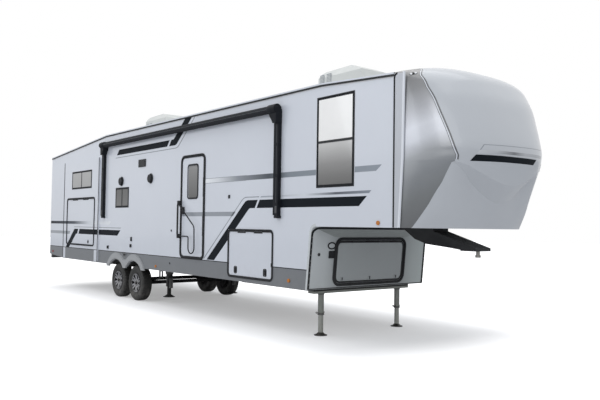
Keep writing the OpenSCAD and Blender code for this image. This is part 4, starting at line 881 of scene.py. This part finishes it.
# The belt's fade from silver to grey is print; its darkest dip, beside the awning arm, is the arm's painted shadow
fadeLook("beltFadeWithArmShadow", 4.90, 0.55, [(0.0, (0.86, 0.88, 0.90)), (0.10, (0.70, 0.72, 0.75)), (0.24, (0.30, 0.32, 0.35)),
                                  (0.44, (0.10, 0.11, 0.125)), (0.50, (0.15, 0.17, 0.19)), (0.56, (0.25, 0.28, 0.31)),
                                  (1.0, (0.31, 0.34, 0.38))])
fadeLook("rearFade", 12.99, 8.98, [(0.0, (0.035, 0.038, 0.045)), (0.45, (0.10, 0.11, 0.13)), (0.70, silver), (1.0, (0.8, 0.82, 0.84))])
fadeLook("lineFade", 3.45, 0.75, [(0.0, mid), (0.5, silver), (0.75, (0.14, 0.15, 0.17)), (1.0, mid)])

stripe("frontBar", [(3.30, 1.876), (0.97, 1.876), (0.82, 2.005), (3.22, 2.005)], "blackPaint")
stripe("frontBend", [(4.80, 0.995), (3.60, 2.005, 0.20), (3.27, 2.005), (3.35, 1.876), (3.50, 1.876, 0.12), (4.55, 0.995)],
       "blackPaint")
stripe("frontBendLine", [(4.895, 0.995), (3.66, 2.045, 0.22), (3.24, 2.045), (3.23, 2.06), (3.665, 2.06, 0.23), (4.93, 0.995)],
       "greyPaint")
stripe("frontLine", [(3.20, 2.040), (0.78, 2.040), (0.74, 2.078), (3.18, 2.060)], "lineFade")
stripe("belt", [(4.88, 2.33), (0.66, 2.32), (0.557, 2.397), (4.88, 2.41)], "beltFadeWithArmShadow")
stripe("beltEdgeLow", [(4.88, 2.324), (3.60, 2.323), (3.60, 2.331), (4.88, 2.332)], "greyPaint", layer=2)
stripe("beltEdgeHigh", [(4.88, 2.404), (3.60, 2.403), (3.60, 2.411), (4.88, 2.412)], "greyPaint", layer=2)
stripe("doorBand", [(5.73, 1.75), (3.98, 1.75), (3.90, 1.823), (5.73, 1.823)], "greyPaint")
stripe("rearFadeBand", [(12.97, 1.57), (9.05, 1.57), (8.98, 1.64), (12.97, 1.64)], "rearFade")
stripe("rearGreyBand", [(12.97, 1.316), (11.48, 1.316), (11.42, 1.39), (12.97, 1.39)], "greyPaint")
stripe("rearBar", [(10.86, 1.33), (8.61, 1.33), (8.45, 1.45), (10.80, 1.45)], "blackPaint")
stripe("rearBend", [(11.72, 0.985), (11.14, 1.45, 0.12), (10.88, 1.45), (10.95, 1.33), (11.02, 1.33, 0.06), (11.49, 0.985)],
       "blackPaint")
stripe("rearLine", [(11.16, 1.49), (8.45, 1.49), (8.40, 1.507), (11.16, 1.507)], "greyPaint")
stripe("highBar", [(8.73, 3.10), (6.36, 3.10), (6.26, 3.217), (8.61, 3.217)], "blackPaint")
stripe("highBend", [(6.28, 3.10), (6.00, 3.10, 0.16), (5.40, 3.575), (5.66, 3.575), (6.10, 3.217, 0.08), (6.19, 3.217)],
       "blackPaint")
stripe("highLine", [(8.80, 3.035), (5.93, 3.035, 0.22), (5.27, 3.575), (5.30, 3.575), (5.95, 3.052, 0.22), (8.78, 3.052)],
       "greyPaint")
stripe("skirtLine", [(12.98, 0.972), (2.03, 0.972), (2.03, 0.985), (12.98, 0.985)], "trim")
stripe("roomSkirt", [(11.75, 0.712), (9.86, 0.712), (9.86, 0.985), (11.75, 0.985)], "skirt", sides=(-1,))
print("stripes painted")

# Seam covers, handle, latches and fittings

fittings = {
    "seamWidth": 0.030, "edgeWidth": 0.040, "handleRadius": 0.011, "handleY": 1.291,
    "handle": ((5.758, 2.000, 0.04), (5.135, 1.564, 0.10), (5.118, 1.083, 0.105), (5.338, 1.083, 0.105),
               (5.340, 1.385, 0.04), (5.758, 1.385, 0.04)),
    "speakers": (8.440, 7.030), "speakerHeight": 2.512, "vent": (7.602, 2.768, 0.333, 0.157),
    "sockets": ((7.880, 1.275, 0.052, 0.086), (7.905, 1.133, 0.070, 0.070), (9.100, 1.065, 0.080, 0.070)),
    "port": (-0.815, 0.635, 0.068, 0.045), "square": (-0.861, 0.451, -0.737, 0.5586),
}


def buildSeams():
    for side, mark in ((-1, "Door"), (1, "Off")):
        seam, edge = Heap(), Heap()
        wide = fittings["seamWidth"]
        rear = [onWall(side, wallY)(ahead(0.346), z, 0) for z in (1.603, 3.46)]
        rear += [onWall(side, wallY)(ahead(0.346 - 0.05 * (1 - math.cos(t))), 3.46 + 0.05 * math.sin(t), 0)
                 for t in (0.5, 1.0, 1.5)]
        seam.sweep(rear, bead(wide, 0.013), (0, side, 0))
        seam.piece("seamStrip" + mark, "trailer", "trim", "trim")
        # The bead along the flange's front edge is painted bright as a highlight on its bevel
        front = [(0.262, 1.603), (0.209, 2.464), (0.194, 3.515)]
        edge.sweep([onWall(side, wallY - 0.004)(ahead(back), z, 0) for back, z in front],
                   bead(fittings["edgeWidth"], 0.016), (0, side, 0))
        edge.piece("flangeHighlightBead" + mark, "trailer", "palePipingAndHighlight", "trim")


def buildHandle():
    y = fittings["handleY"]
    handle = Heap()
    path = [Vector((ahead(p.x), -y, p.y)) for p in roundOutline(fittings["handle"])]
    handle.sweep(path, roundBar(fittings["handleRadius"]), (0, -1, 0), closed=True)
    handle.lathe([(1.420, 0.0), (1.420, 0.017), (1.965, 0.017), (1.965, 0.0)], Vector((ahead(5.758), 0.003 - y, 0)), (0, 0, 1),
                 steps=14)
    for z in (2.000, 1.385):
        handle.slab(roundedLoop((ahead(5.800), z - 0.040), (ahead(5.716), z + 0.040), 0.014),
                    onWall(-1, 1.2475), 0.034, 0.004)
    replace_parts(handle.piece("grabHandleTube", "entry_door", "trim", "trim", angle=50), "grab_handle")


def buildLatches():
    for side, node in ((-1, "pass_hatch_door"), (1, "pass_hatch_off")):
        low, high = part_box(node)
        face = max(side * low.y, side * high.y) - 0.018
        plates, paddles = Heap(), Heap()
        for share in (0.18, 0.84):
            x, z = ahead(4.102) + 1.252 * share, 0.875
            plates.slab(roundedLoop((x - 0.050, z - 0.062), (x + 0.050, z + 0.062), 0.030), onWall(side, face), 0.006, 0.002)
            for k in (-1, 1):
                paddles.lathe([(0.0, 0.007), (0.009, 0.006), (0.010, 0.0)], onWall(side, face)(x, z + k * 0.047, 0),
                              (0, side, 0), steps=12)
        x = ahead(4.102) + 1.252 - 0.030
        plates.slab(roundedLoop((x - 0.012, 0.972), (x + 0.012, 1.032), 0.006), onWall(side, face), 0.012, 0.003)
        plates.piece("latchPlates_" + node, node, "trim", "trim")
        paddles.piece("latchScrews_" + node, node, "bolt", "trim")
    kitchen = Heap()
    face = -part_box("kitchen_hatch")[0].y - 0.018
    for share in (0.2, 0.8):
        kitchen.lathe([(0.0, 0.048), (0.004, 0.048), (0.006, 0.044), (0.006, 0.036), (0.0, 0.036)],
                      onWall(-1, face)(ahead(11.672) + 1.800 * share, 1.152, 0), (0, -1, 0))
    kitchen.piece("kitchenLatchRings", "kitchen_hatch", "trim", "trim")


def buildWallFittings():
    grille, louvres, covers = Heap(), Heap(), Heap()
    for back in fittings["speakers"]:
        centre = onWall(-1, wallY + 0.0003)(ahead(back), fittings["speakerHeight"], 0)
        for radius in (0.078, 0.064, 0.050, 0.036, 0.022):
            grille.lathe([(0.042, radius), (0.047, radius - 0.002), (0.047, radius - 0.005), (0.042, radius - 0.007)],
                         centre, (0, -1, 0))
        grille.lathe([(0.042, 0.010), (0.050, 0.008), (0.051, 0.0)], centre, (0, -1, 0))
        grille.lathe([(0.0, 0.104), (0.006, 0.104), (0.009, 0.100), (0.009, 0.094)], centre, (0, -1, 0))
    grille.piece("speakerGrilles", "trailer", "mesh", "trim")
    back, low, wide, high = fittings["vent"]
    place = onWall(-1, wallY + 0.0121)
    for k in range(6):
        z = low + 0.022 + k * 0.0205
        louvres.slab(boxLoop((ahead(back) + 0.030, z), (ahead(back) + wide - 0.030, z + 0.011)), place, 0.007, 0.003)
    for z in (low + 0.010, low + high - 0.014):
        louvres.slab(boxLoop((ahead(back) + 0.018, z), (ahead(back) + wide - 0.018, z + 0.005)), place, 0.004, 0.001)
    louvres.piece("ventLouvres", "trailer", "mesh", "trim")
    for back, z, wide, high in fittings["sockets"]:
        half, tall = wide / 2 - 0.007, high / 2 - 0.007
        place = onWall(-1, wallY + 0.0143)
        covers.slab(roundedLoop((ahead(back) - half, z - tall), (ahead(back) + half, z + tall), 0.008), place, 0.006, 0.002)
        covers.sweep([place(ahead(back) - half, z + tall + 0.001, 0), place(ahead(back) + half, z + tall + 0.001, 0)],
                     roundBar(0.004, 8), (0, -1, 0))
    # Small button by the front hatch
    covers.slab(roundedLoop((ahead(4.120), 2.045), (ahead(4.075), 2.104), 0.010), onWall(-1, wallY + 0.0003), 0.014, 0.003)
    covers.piece("socketCovers", "trailer", "trim", "trim")
    dots = Heap()
    for back, z in ((6.151, 0.857), (10.212, 0.839), (6.115, 1.480)):
        dots.lathe([(0.0, 0.020), (0.005, 0.019), (0.007, 0.012), (0.007, 0.0)], onWall(-1, wallY + 0.002)(ahead(back), z, 0),
                   (0, -1, 0), steps=16)
    dots.piece("skirtPlugs", "trailer", "trim", "trim")


def buildSeals():
    # Wider black covers on the rings round the doors: back, low edge, length, height, ring, corner, side
    face = -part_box("hatch_rings")[0].y
    for name, body, side, plane, top, back, low, wide, high, ring, turn in (
            ("entrySeal", "trailer", -1, wallY, face, 5.758, 0.984, 0.861, 1.876, 0.036, 0.10),
            ("passSealDoor", "trailer", -1, wallY, face, 4.102, 0.757, 1.252, 0.774, 0.020, 0.07),
            ("passSealOff", "trailer", 1, wallY, face, 4.102, 0.757, 1.252, 0.774, 0.020, 0.07),
            ("kitchenSeal", "bunk_room", -1, roomY, -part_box("kitchen_ring")[0].y, 11.672, 1.062, 1.800, 1.140, 0.020, 0.07)):
        out, width = 0.010, ring + 0.010
        inset = (ring - out) / 2
        loop = roundedLoop((ahead(back) + inset, low + inset), (ahead(back) + wide - inset, low + high - inset), turn)
        seal = Heap()
        thick = top - plane + 0.0008
        profile = [(-width / 2, 0.0005), (-width / 2, thick * 0.8), (-width * 0.4, thick), (width * 0.4, thick),
                   (width / 2, thick * 0.9), (width / 2, 0.0005)]
        seal.sweep([onWall(side, plane)(x, z, 0) for x, z in loop], profile, (0, side, 0), closed=True)
        seal.piece(name, body, "trim", "trim")


def buildBulkheadTrim():
    half, top, turn = wallY - 0.018, 0.900, 0.11

    def onFillet(along, up):
        over = max(0.0, bulkhead["foot"] + up * bulkheadUp.z - 1.5)
        return onBulkhead(along, up, bulkhead["fillet"] - math.sqrt(max(0, bulkhead["fillet"] ** 2 - over ** 2)) + 0.001)

    outline = [(-half, 0.012)] + [(-half, 0.20 + 0.29 * k) for k in range(3)]
    outline += [(-half + turn - turn * math.cos(t), top - turn + turn * math.sin(t)) for t in (0.3, 0.6, 0.9, 1.2, 1.5708)]
    across = [(y, top) for y in (-0.6, 0.0, 0.6)]
    right = [(-y, up) for y, up in reversed(outline)]
    edge = Heap()
    edge.sweep([onFillet(y, up) for y, up in outline + across + right], bead(0.036, 0.009), bulkheadOut)
    edge.sweep([onFillet(half, 0.012), onFillet(-half, 0.012)], bead(0.014, 0.007), bulkheadOut)
    x, up, wide, high = fittings["port"]
    oval = [(x + wide * math.cos(math.pi * k / 14), up + high * math.sin(math.pi * k / 14)) for k in range(28)]
    edge.sweep([onBulkhead(y, z, 0.001) for y, z in oval], bead(0.020, 0.010), bulkheadOut, closed=True)
    a, b, c, d = fittings["square"]
    edge.slab(roundedLoop((a, b), (c, d), 0.012), onBulkhead, 0.012, 0.003)
    edge.lathe([(0.0, 0.024), (0.006, 0.023), (0.009, 0.014), (0.009, 0.0)], onBulkhead(-1.046, 0.509, 0.0), bulkheadOut)
    gasket = roundedLoop((-0.7345, 0.0535), (0.7345, 0.7365), 0.118)
    edge.sweep([onBulkhead(y, z, 0.001) for y, z in gasket], bead(0.040, 0.024), bulkheadOut, closed=True)
    edge.piece("bulkheadTrim", "trailer", "trim", "trim")
    # A darker sheet on the fillet between the hatch and the deck is painted shade under the overhang
    bevel = []
    for k in range(8):
        t = k / 7
        left, right = -0.76 - 0.36 * t, 0.76 + 0.36 * t
        bevel.append([onFillet(left + (right - left) * j / 12, 0.762 + 0.118 * t) for j in range(13)])
    verts, faces = grid(bevel)
    newPiece("bulkheadShadeSheet", verts, faces, "trailer", "bulkheadShade", smooth=True)
    lid = Heap()
    lid.slab([(x + 0.86 * (y - x), up + 0.78 * (z - up)) for y, z in oval], onBulkhead, 0.006, 0.002)
    lid.piece("portLid", "trailer", "bulkhead", "trim")
    screws = Heap()
    for k in range(9):
        screws.lathe([(0.0, 0.008), (0.010, 0.007), (0.012, 0.0)], onFillet(-half, 0.08 + k * 0.085), bulkheadOut, steps=10)
        screws.lathe([(0.0, 0.008), (0.010, 0.007), (0.012, 0.0)], onFillet(half, 0.08 + k * 0.085), bulkheadOut, steps=10)
    screws.piece("bulkheadScrews", "trailer", "bolt", "trim")


def buildAwningDetails():
    lines, pads, caps = Heap(), Heap(), Heap()
    for back, end in ((9.350, -1), (2.710, 1)):
        place = onWall(-1, wallY + 0.0625)
        lines.slab(boxLoop((ahead(back) - 0.004, 1.95), (ahead(back) + 0.004, 3.18)), place, 0.002, 0.0005)
        pads.slab(roundedLoop((ahead(back) - 0.024, 1.79), (ahead(back) + 0.024, 1.90), 0.010), place, 0.004, 0.001)
        for z in (2.355, 2.83):
            caps.slab(roundedLoop((ahead(back) - 0.046, z - 0.024), (ahead(back) + 0.046, z + 0.024), 0.008), place, 0.008, 0.003)
        caps.lathe([(0.0, 0.062), (0.004, 0.062), (0.007, 0.056), (0.007, 0.030), (0.013, 0.026), (0.013, 0.0)],
                   Vector((ahead(back) + end * 0.0395, -1.304, 3.365)), (end, 0, 0))
        drum = Vector((ahead(back) + end * 0.039, -1.304, 3.365))
        caps.lathe([(0.0, 0.0), (0.0, 0.070), (0.006, 0.0736), (0.190, 0.0736), (0.205, 0.066), (0.205, 0.0)], drum, (-end, 0, 0))
        caps.slab([(ahead(back) + end * x, z) for x, z in ((0.045, 3.34), (-0.150, 3.34), (-0.125, 3.26), (-0.070, 3.19),
                                                          (-0.046, 3.15), (0.042, 3.15))], onWall(-1, wallY + 0.0004), 0.118, 0.006)
        caps.slab(boxLoop((ahead(back) - 0.078, 1.76), (ahead(back) - 0.0395, 3.20)), onWall(-1, wallY + 0.0004), 0.0605, 0.004)
        caps.slab(roundedLoop((ahead(back) - 0.055, 1.716), (ahead(back) + 0.055, 1.755), 0.012), onWall(-1, wallY + 0.0004),
                  0.060, 0.004)
    # A thin lighter line along the roller's front is a painted highlight
    lines.slab(boxLoop((ahead(9.30), 3.362), (ahead(2.76), 3.368)), onWall(-1, 1.3640), 0.002, 0.0005)
    lines.piece("awningLinesAndRollerHighlight", "trailer", "armLineAndRollerHighlight", "awning_metal")
    pads.piece("awningPads", "trailer", "mesh", "awning_metal")
    caps.piece("awningCaps", "trailer", "awning", "awning_metal")


def buildRoofDetails():
    slats, frames = Heap(), Heap()
    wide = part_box("roof_ac")[1].y
    for back in (2.340, 8.620):
        low = 3.875 if back < 5 else 3.775
        for side in (-1, 1):
            for start, reach in ((back + 0.475, 0.10), (back + 0.315, 0.11)):
                place = onWall(side, wide + 0.0003)
                frames.slab(boxLoop((ahead(start), low), (ahead(start - reach), low + 0.15)), place, 0.003, 0.001)
                for k in range(6):
                    slats.slab(boxLoop((ahead(start) + 0.008, low + 0.012 + k * 0.022),
                                       (ahead(start - reach) - 0.008, low + 0.024 + k * 0.022)), place, 0.009, 0.003)
    frames.piece("roofUnitGrilleBacks", "trailer", "greyPaint", "roof")
    slats.piece("roofUnitSlats", "trailer", "unit", "roof")


def buildLegDetails():
    rings, pins = Heap(), Heap()
    for side in (-1, 1):
        centre = Vector((ahead(2.190), side * 0.808, 0))
        for z in (0.300, 0.600):
            rings.lathe([(z, 0.0450), (z, 0.0500), (z + 0.028, 0.0500), (z + 0.028, 0.0450)], centre, (0, 0, 1))
        rings.lathe([(0.0100, 0.0600), (0.0140, 0.0600), (0.020, 0.0500), (0.024, 0.046)], centre, (0, 0, 1))
        for z in (0.16, 0.21, 0.26):
            pins.lathe([(0.030, 0.007), (0.0378, 0.007), (0.0384, 0.0)], centre + Vector((0, 0, z)), (0.6, -0.8, 0), steps=10)
        pins.lathe([(-0.070, 0.0), (-0.070, 0.008), (0.070, 0.008), (0.078, 0.014), (0.092, 0.014), (0.092, 0.0)],
                   centre + Vector((0, 0, 0.335)), (0, -1, 0), steps=12)
        rings.lathe([(0.0, 0.096), (0.004, 0.098), (0.010, 0.0960), (0.011, 0.090)], centre, (0, 0, 1))
    rings.piece("legRings", "trailer", "frame", "frame_black")
    pins.piece("legPins", "trailer", "bolt", "frame_black")


def buildRailEdges():
    # The upper half of each eave rail is the pale edge of the roof sheet
    mesh = nodes["eave_rails"].data
    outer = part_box("eave_rails")[1].y
    for side, mark in ((-1, "Door"), (1, "Off")):
        points = [v.co for v in mesh.vertices if abs(v.co.y - side * outer) < 0.0006]
        top = {}
        for p in points:
            if not any(abs(q.x - p.x) < 0.03 and q.z > p.z + 0.015 for q in points):
                top[round(p.x, 3)] = p.z
        line = sorted(top.items())
        verts = []
        for x, z in line:
            verts += [Vector((x, side * (outer + 0.0006), z - 0.022)), Vector((x, side * (outer + 0.0006), z))]
        faces = [(2 * k, 2 * k + 2, 2 * k + 3, 2 * k + 1)[::-side] for k in range(len(line) - 1)]
        newPiece("railPaleEdge" + mark, verts, faces, "trailer", "wall")


def buildFenderNotch():
    notch = Heap()
    for side in (-1, 1):
        notch.slab([(ahead(8.245), 0.958), (ahead(8.170), 0.895), (ahead(8.095), 0.958)], onWall(side, roomY), 0.004, 0.001)
    notch.piece("fenderNotches", "trailer", "trim", "fender")


def buildCapLamps():
    pale, dim, bezels = Heap(), Heap(), Heap()
    for mirrorSide in (-1, 1):
        for k, heap in ((-1, pale), (0, dim), (1, pale)):
            s, u = 14.9, mirrorSide * 65.5 + k * 2.3
            at = capPoint(s, u, cap["inset"])
            alongUp = capPoint(s + 0.2, u, cap["inset"]) - at
            alongTurn = capPoint(s, u + 0.8, cap["inset"]) - at
            out = alongTurn.cross(alongUp).normalized()
            if out.x < 0:
                out = -out
            heap.lathe([(-0.002, 0.018), (0.006, 0.017), (0.010, 0.012), (0.011, 0.0)], at, out, steps=20)
            bezels.lathe([(-0.002, 0.022), (0.003, 0.022), (0.004, 0.020), (0.004, 0.018)], at, out, steps=20)
    pale.piece("capLampsPale", "trailer", "clear", "lamp")
    dim.piece("capLampsDim", "trailer", "trim", "lamp")
    bezels.piece("capLampBezels", "trailer", "trim", "trim")


def buildRearDetails():
    frames = Heap()
    for side in (-1, 1):
        loop = roundedLoop((side * 1.03 - 0.092, 1.138), (side * 1.03 + 0.092, 1.492), 0.02)
        frames.sweep([Vector((rear - 0.001, y, z)) for y, z in loop], bead(0.022, 0.010), (-1, 0, 0), closed=True)
        edge = [Vector((rear - 0.001, side * (wallY - 0.016), z)) for z in (1.0, 3.18)]
        frames.sweep(edge, bead(0.030, 0.006), (-1, 0, 0))
    frames.piece("rearTrim", "trailer", "trim", "trim")


buildSeams()
buildHandle()
buildLatches()
buildSeals()
buildWallFittings()
buildBulkheadTrim()
buildAwningDetails()
buildRoofDetails()
buildLegDetails()
buildRailEdges()
buildFenderNotch()
buildCapLamps()
buildRearDetails()
print("fittings made")

# Wheels

wheel = {
    "radius": 0.365, "width": 0.220, "rim": 0.203, "blocks": 40, "perBlock": 5, "groove": 0.007,
    "lugs": 6, "lugCircle": 0.070,
    # Across the tyre from the middle of the tread: place, radius, 1 where the blocks are cut
    "tread": ((0.000, 0.3650, 0), (0.010, 0.3650, 0), (0.0105, 0.3575, 0), (0.018, 0.3575, 0), (0.0185, 0.3648, 0),
              (0.042, 0.3643, 0), (0.0425, 0.3570, 0), (0.050, 0.3570, 0), (0.0505, 0.3638, 1), (0.066, 0.3628, 1),
              (0.080, 0.3600, 1), (0.091, 0.3545, 1), (0.0965, 0.3480, 1), (0.1005, 0.3400, 0), (0.1045, 0.3250, 0),
              (0.1060, 0.3235, 0), (0.1085, 0.3100, 0), (0.1095, 0.2950, 0), (0.1100, 0.2900, 0), (0.1092, 0.2780, 0),
              (0.1060, 0.2600, 0), (0.1035, 0.2560, 0), (0.1035, 0.2520, 0), (0.1010, 0.2380, 0), (0.0975, 0.2250, 0),
              (0.0960, 0.2160, 0), (0.0930, 0.2100, 0), (0.0880, 0.2045, 0), (0.0800, 0.2040, 0)),
}


def buildTyre(place):
    low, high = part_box("tyre_" + place)
    centre = (low + high) / 2
    half = wheel["tread"]
    across = [(-x, r, cut) for x, r, cut in reversed(half[1:])] + list(half)
    steps = wheel["blocks"] * wheel["perBlock"]
    rings = []
    for k in range(steps + 1):
        turn = 2 * math.pi * (k % steps) / steps
        ring = []
        for x, r, cut in across:
            # The shoulders' slots stand half a block apart on the two sides
            shift = (wheel["perBlock"] // 2 if x > 0 else 0)
            deep = wheel["groove"] if cut and (k + shift) % wheel["perBlock"] == 0 else 0
            ring.append(Vector((centre.x + (r - deep) * math.cos(turn), centre.y + x,
                                centre.z + (r - deep) * math.sin(turn))))
        rings.append(ring)
    wide = len(across)
    verts = [p for ring in rings[:-1] for p in ring]
    faces = []
    for k in range(steps):
        here, there = k * wide, (k + 1) % steps * wide
        faces += [(here + j, there + j, there + j + 1, here + j + 1) for j in range(wide - 1)]
        faces.append((here + wide - 1, there + wide - 1, there, here))
    made = newPiece("tyreTread_" + place, verts, faces, "wheel_" + place, "rubber")
    smoothByAngle(made, 30)
    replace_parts(made, "tyre_" + place)


def dressRim(place):
    side = -1 if place.endswith("door") else 1
    node = "rim_" + place
    low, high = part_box(node)
    centre = (low + high) / 2
    dressNode(node, "rimBlack", "rimMetal")
    outward = max(side * low.y, side * high.y) - 0.028

    def choose(c, n):
        flat = n.y * side > 0.86
        radius = math.hypot(c.x - centre.x, c.z - centre.z)
        return int(flat and side * c.y > outward and radius < 0.195)

    splitLooks(node, choose)
    face = side * (max(side * low.y, side * high.y))
    heap = Heap()
    hubFace = face - side * 0.016
    heap.lathe([(-0.004, 0.034), (0.006, 0.034), (0.014, 0.030), (0.017, 0.020), (0.018, 0.0)],
               (centre.x, hubFace, centre.z), (0, side, 0))
    heap.piece("hubCap_" + place, "wheel_" + place, "rimBlack", "rim")
    heap = Heap()
    for k in range(wheel["lugs"]):
        turn = 2 * math.pi * (k + 0.5) / wheel["lugs"]
        x = centre.x + wheel["lugCircle"] * 0.72 * math.cos(turn)
        z = centre.z + wheel["lugCircle"] * 0.72 * math.sin(turn)
        heap.lathe([(-0.002, 0.0085), (0.010, 0.0085), (0.014, 0.006), (0.015, 0.0)], (x, hubFace, z), (0, side, 0),
                   steps=6)
    heap.piece("wheelNuts_" + place, "wheel_" + place, "bolt", "rim")


for place in ("front_door", "rear_door", "front_off", "rear_off"):
    buildTyre(place)
    dressRim(place)
print("wheels made")

# Camera, lights and floor

view = {
    "at": (11.610, -7.292, 1.616), "ahead": (-0.7821, 0.6221, 0.03734), "up": (0.0204, -0.0343, 0.9992),
    "lens": 40.43, "sensor": 36.0,
}


def buildCamera():
    data = bpy.data.cameras.new("camera")
    data.lens = view["lens"]
    data.sensor_width = view["sensor"]
    data.clip_end = 200
    camera = bpy.data.objects.new("camera", data)
    forward = Vector(view["ahead"]).normalized()
    right = forward.cross(Vector(view["up"])).normalized()
    up = right.cross(forward)
    camera.matrix_world = Matrix.Translation(view["at"]) @ Matrix((right, up, -forward)).transposed().to_4x4()
    scene.collection.objects.link(camera)
    scene.camera = camera


def softBox(name, at, target, size, power, color=(1, 1, 1)):
    data = bpy.data.lights.new(name, "AREA")
    data.shape = "RECTANGLE"
    data.size, data.size_y = size
    data.energy = power
    data.color = color
    lamp = bpy.data.objects.new(name, data)
    lamp.location = at
    lamp.rotation_euler = (Vector(target) - Vector(at)).to_track_quat("-Z", "Y").to_euler()
    scene.collection.objects.link(lamp)


def buildWorld():
    world = bpy.data.worlds.new("studio")
    world.use_nodes = True
    tree = world.node_tree
    tree.nodes.clear()
    out = addNode(tree, "OutputWorld")
    lit = addNode(tree, "Background", {"Color": (0.93, 0.96, 1.0, 1), "Strength": 0.62})
    seen = addNode(tree, "Background", {"Color": (1, 1, 1, 1), "Strength": 1.0})
    rays = addNode(tree, "LightPath")
    clear = addNode(tree, "Math", operation="MAXIMUM")
    either = addNode(tree, "Math", operation="MAXIMUM")
    mixed = addNode(tree, "MixShader")
    tree.links.new(rays.outputs["Is Camera Ray"], either.inputs[0])
    tree.links.new(rays.outputs["Is Glossy Ray"], clear.inputs[0])
    tree.links.new(rays.outputs["Is Transmission Ray"], clear.inputs[1])
    tree.links.new(clear.outputs["Value"], either.inputs[1])
    tree.links.new(either.outputs["Value"], mixed.inputs["Fac"])
    tree.links.new(lit.outputs["Background"], mixed.inputs[1])
    tree.links.new(seen.outputs["Background"], mixed.inputs[2])
    tree.links.new(mixed.outputs["Shader"], out.inputs["Surface"])
    scene.world = world


def buildFloor():
    # The camera sees a white floor with the trailer's shadow. Its glow for the camera is weaker near the trailer's
    # footprint, painted shade round the trailer, and rises to plain white further out
    reach = 60.0
    mesh = bpy.data.meshes.new("floor")
    mesh.from_pydata([(-reach, -reach, 0), (reach, -reach, 0), (reach, reach, 0), (-reach, reach, 0)], [], [(0, 1, 2, 3)])
    floor = bpy.data.objects.new("floor", mesh)
    scene.collection.objects.link(floor)
    look = newLook("floorPaint")
    tree = look.node_tree
    shader = tree.nodes["Principled BSDF"]
    shader.inputs["Roughness"].default_value = 0.9
    shader.inputs["Specular IOR Level"].default_value = 0.1
    rays = addNode(tree, "LightPath")
    place = addNode(tree, "TexCoord")
    # Distance from the trailer's footprint
    far = addNode(tree, "VectorMath", operation="ABSOLUTE")
    past = addNode(tree, "VectorMath", {1: (5.0, 1.2, 0.0)}, operation="SUBTRACT")
    none = addNode(tree, "VectorMath", {1: (0.0, 0.0, 0.0)}, operation="MAXIMUM")
    away = addNode(tree, "VectorMath", operation="LENGTH")
    # The glow is weaker near the footprint: painted shade round the trailer
    light = addNode(tree, "MapRange", {"From Min": 0.0, "From Max": 1.9, "To Min": 0.33, "To Max": 1.0},
                    interpolation_type="SMOOTHSTEP")
    glow = addNode(tree, "Math", operation="MULTIPLY")
    shader.inputs["Base Color"].default_value = (0.66, 0.66, 0.67, 1)
    shader.inputs["Emission Color"].default_value = (1, 1, 1, 1)
    tree.links.new(place.outputs["Object"], far.inputs[0])
    tree.links.new(far.outputs["Vector"], past.inputs[0])
    tree.links.new(past.outputs["Vector"], none.inputs[0])
    tree.links.new(none.outputs["Vector"], away.inputs[0])
    tree.links.new(away.outputs["Value"], light.inputs["Value"])
    tree.links.new(light.outputs["Result"], glow.inputs[0])
    tree.links.new(rays.outputs["Is Camera Ray"], glow.inputs[1])
    tree.links.new(glow.outputs["Value"], shader.inputs["Emission Strength"])
    mesh.materials.append(look)


buildCamera()
buildWorld()
buildFloor()
softBox("overhead", (1.0, -2.0, 12.0), (0, 0, 0), (22, 12), 900)
softBox("frontFill", (17.0, -9.0, 7.0), (4, 0, 2), (9, 7), 260)
softBox("sideFill", (-2.0, -16.0, 8.0), (0, 0, 1.5), (18, 7), 420, (0.93, 0.96, 1.0))
scene.view_settings.view_transform = "Standard"
print("camera, lights and floor made")
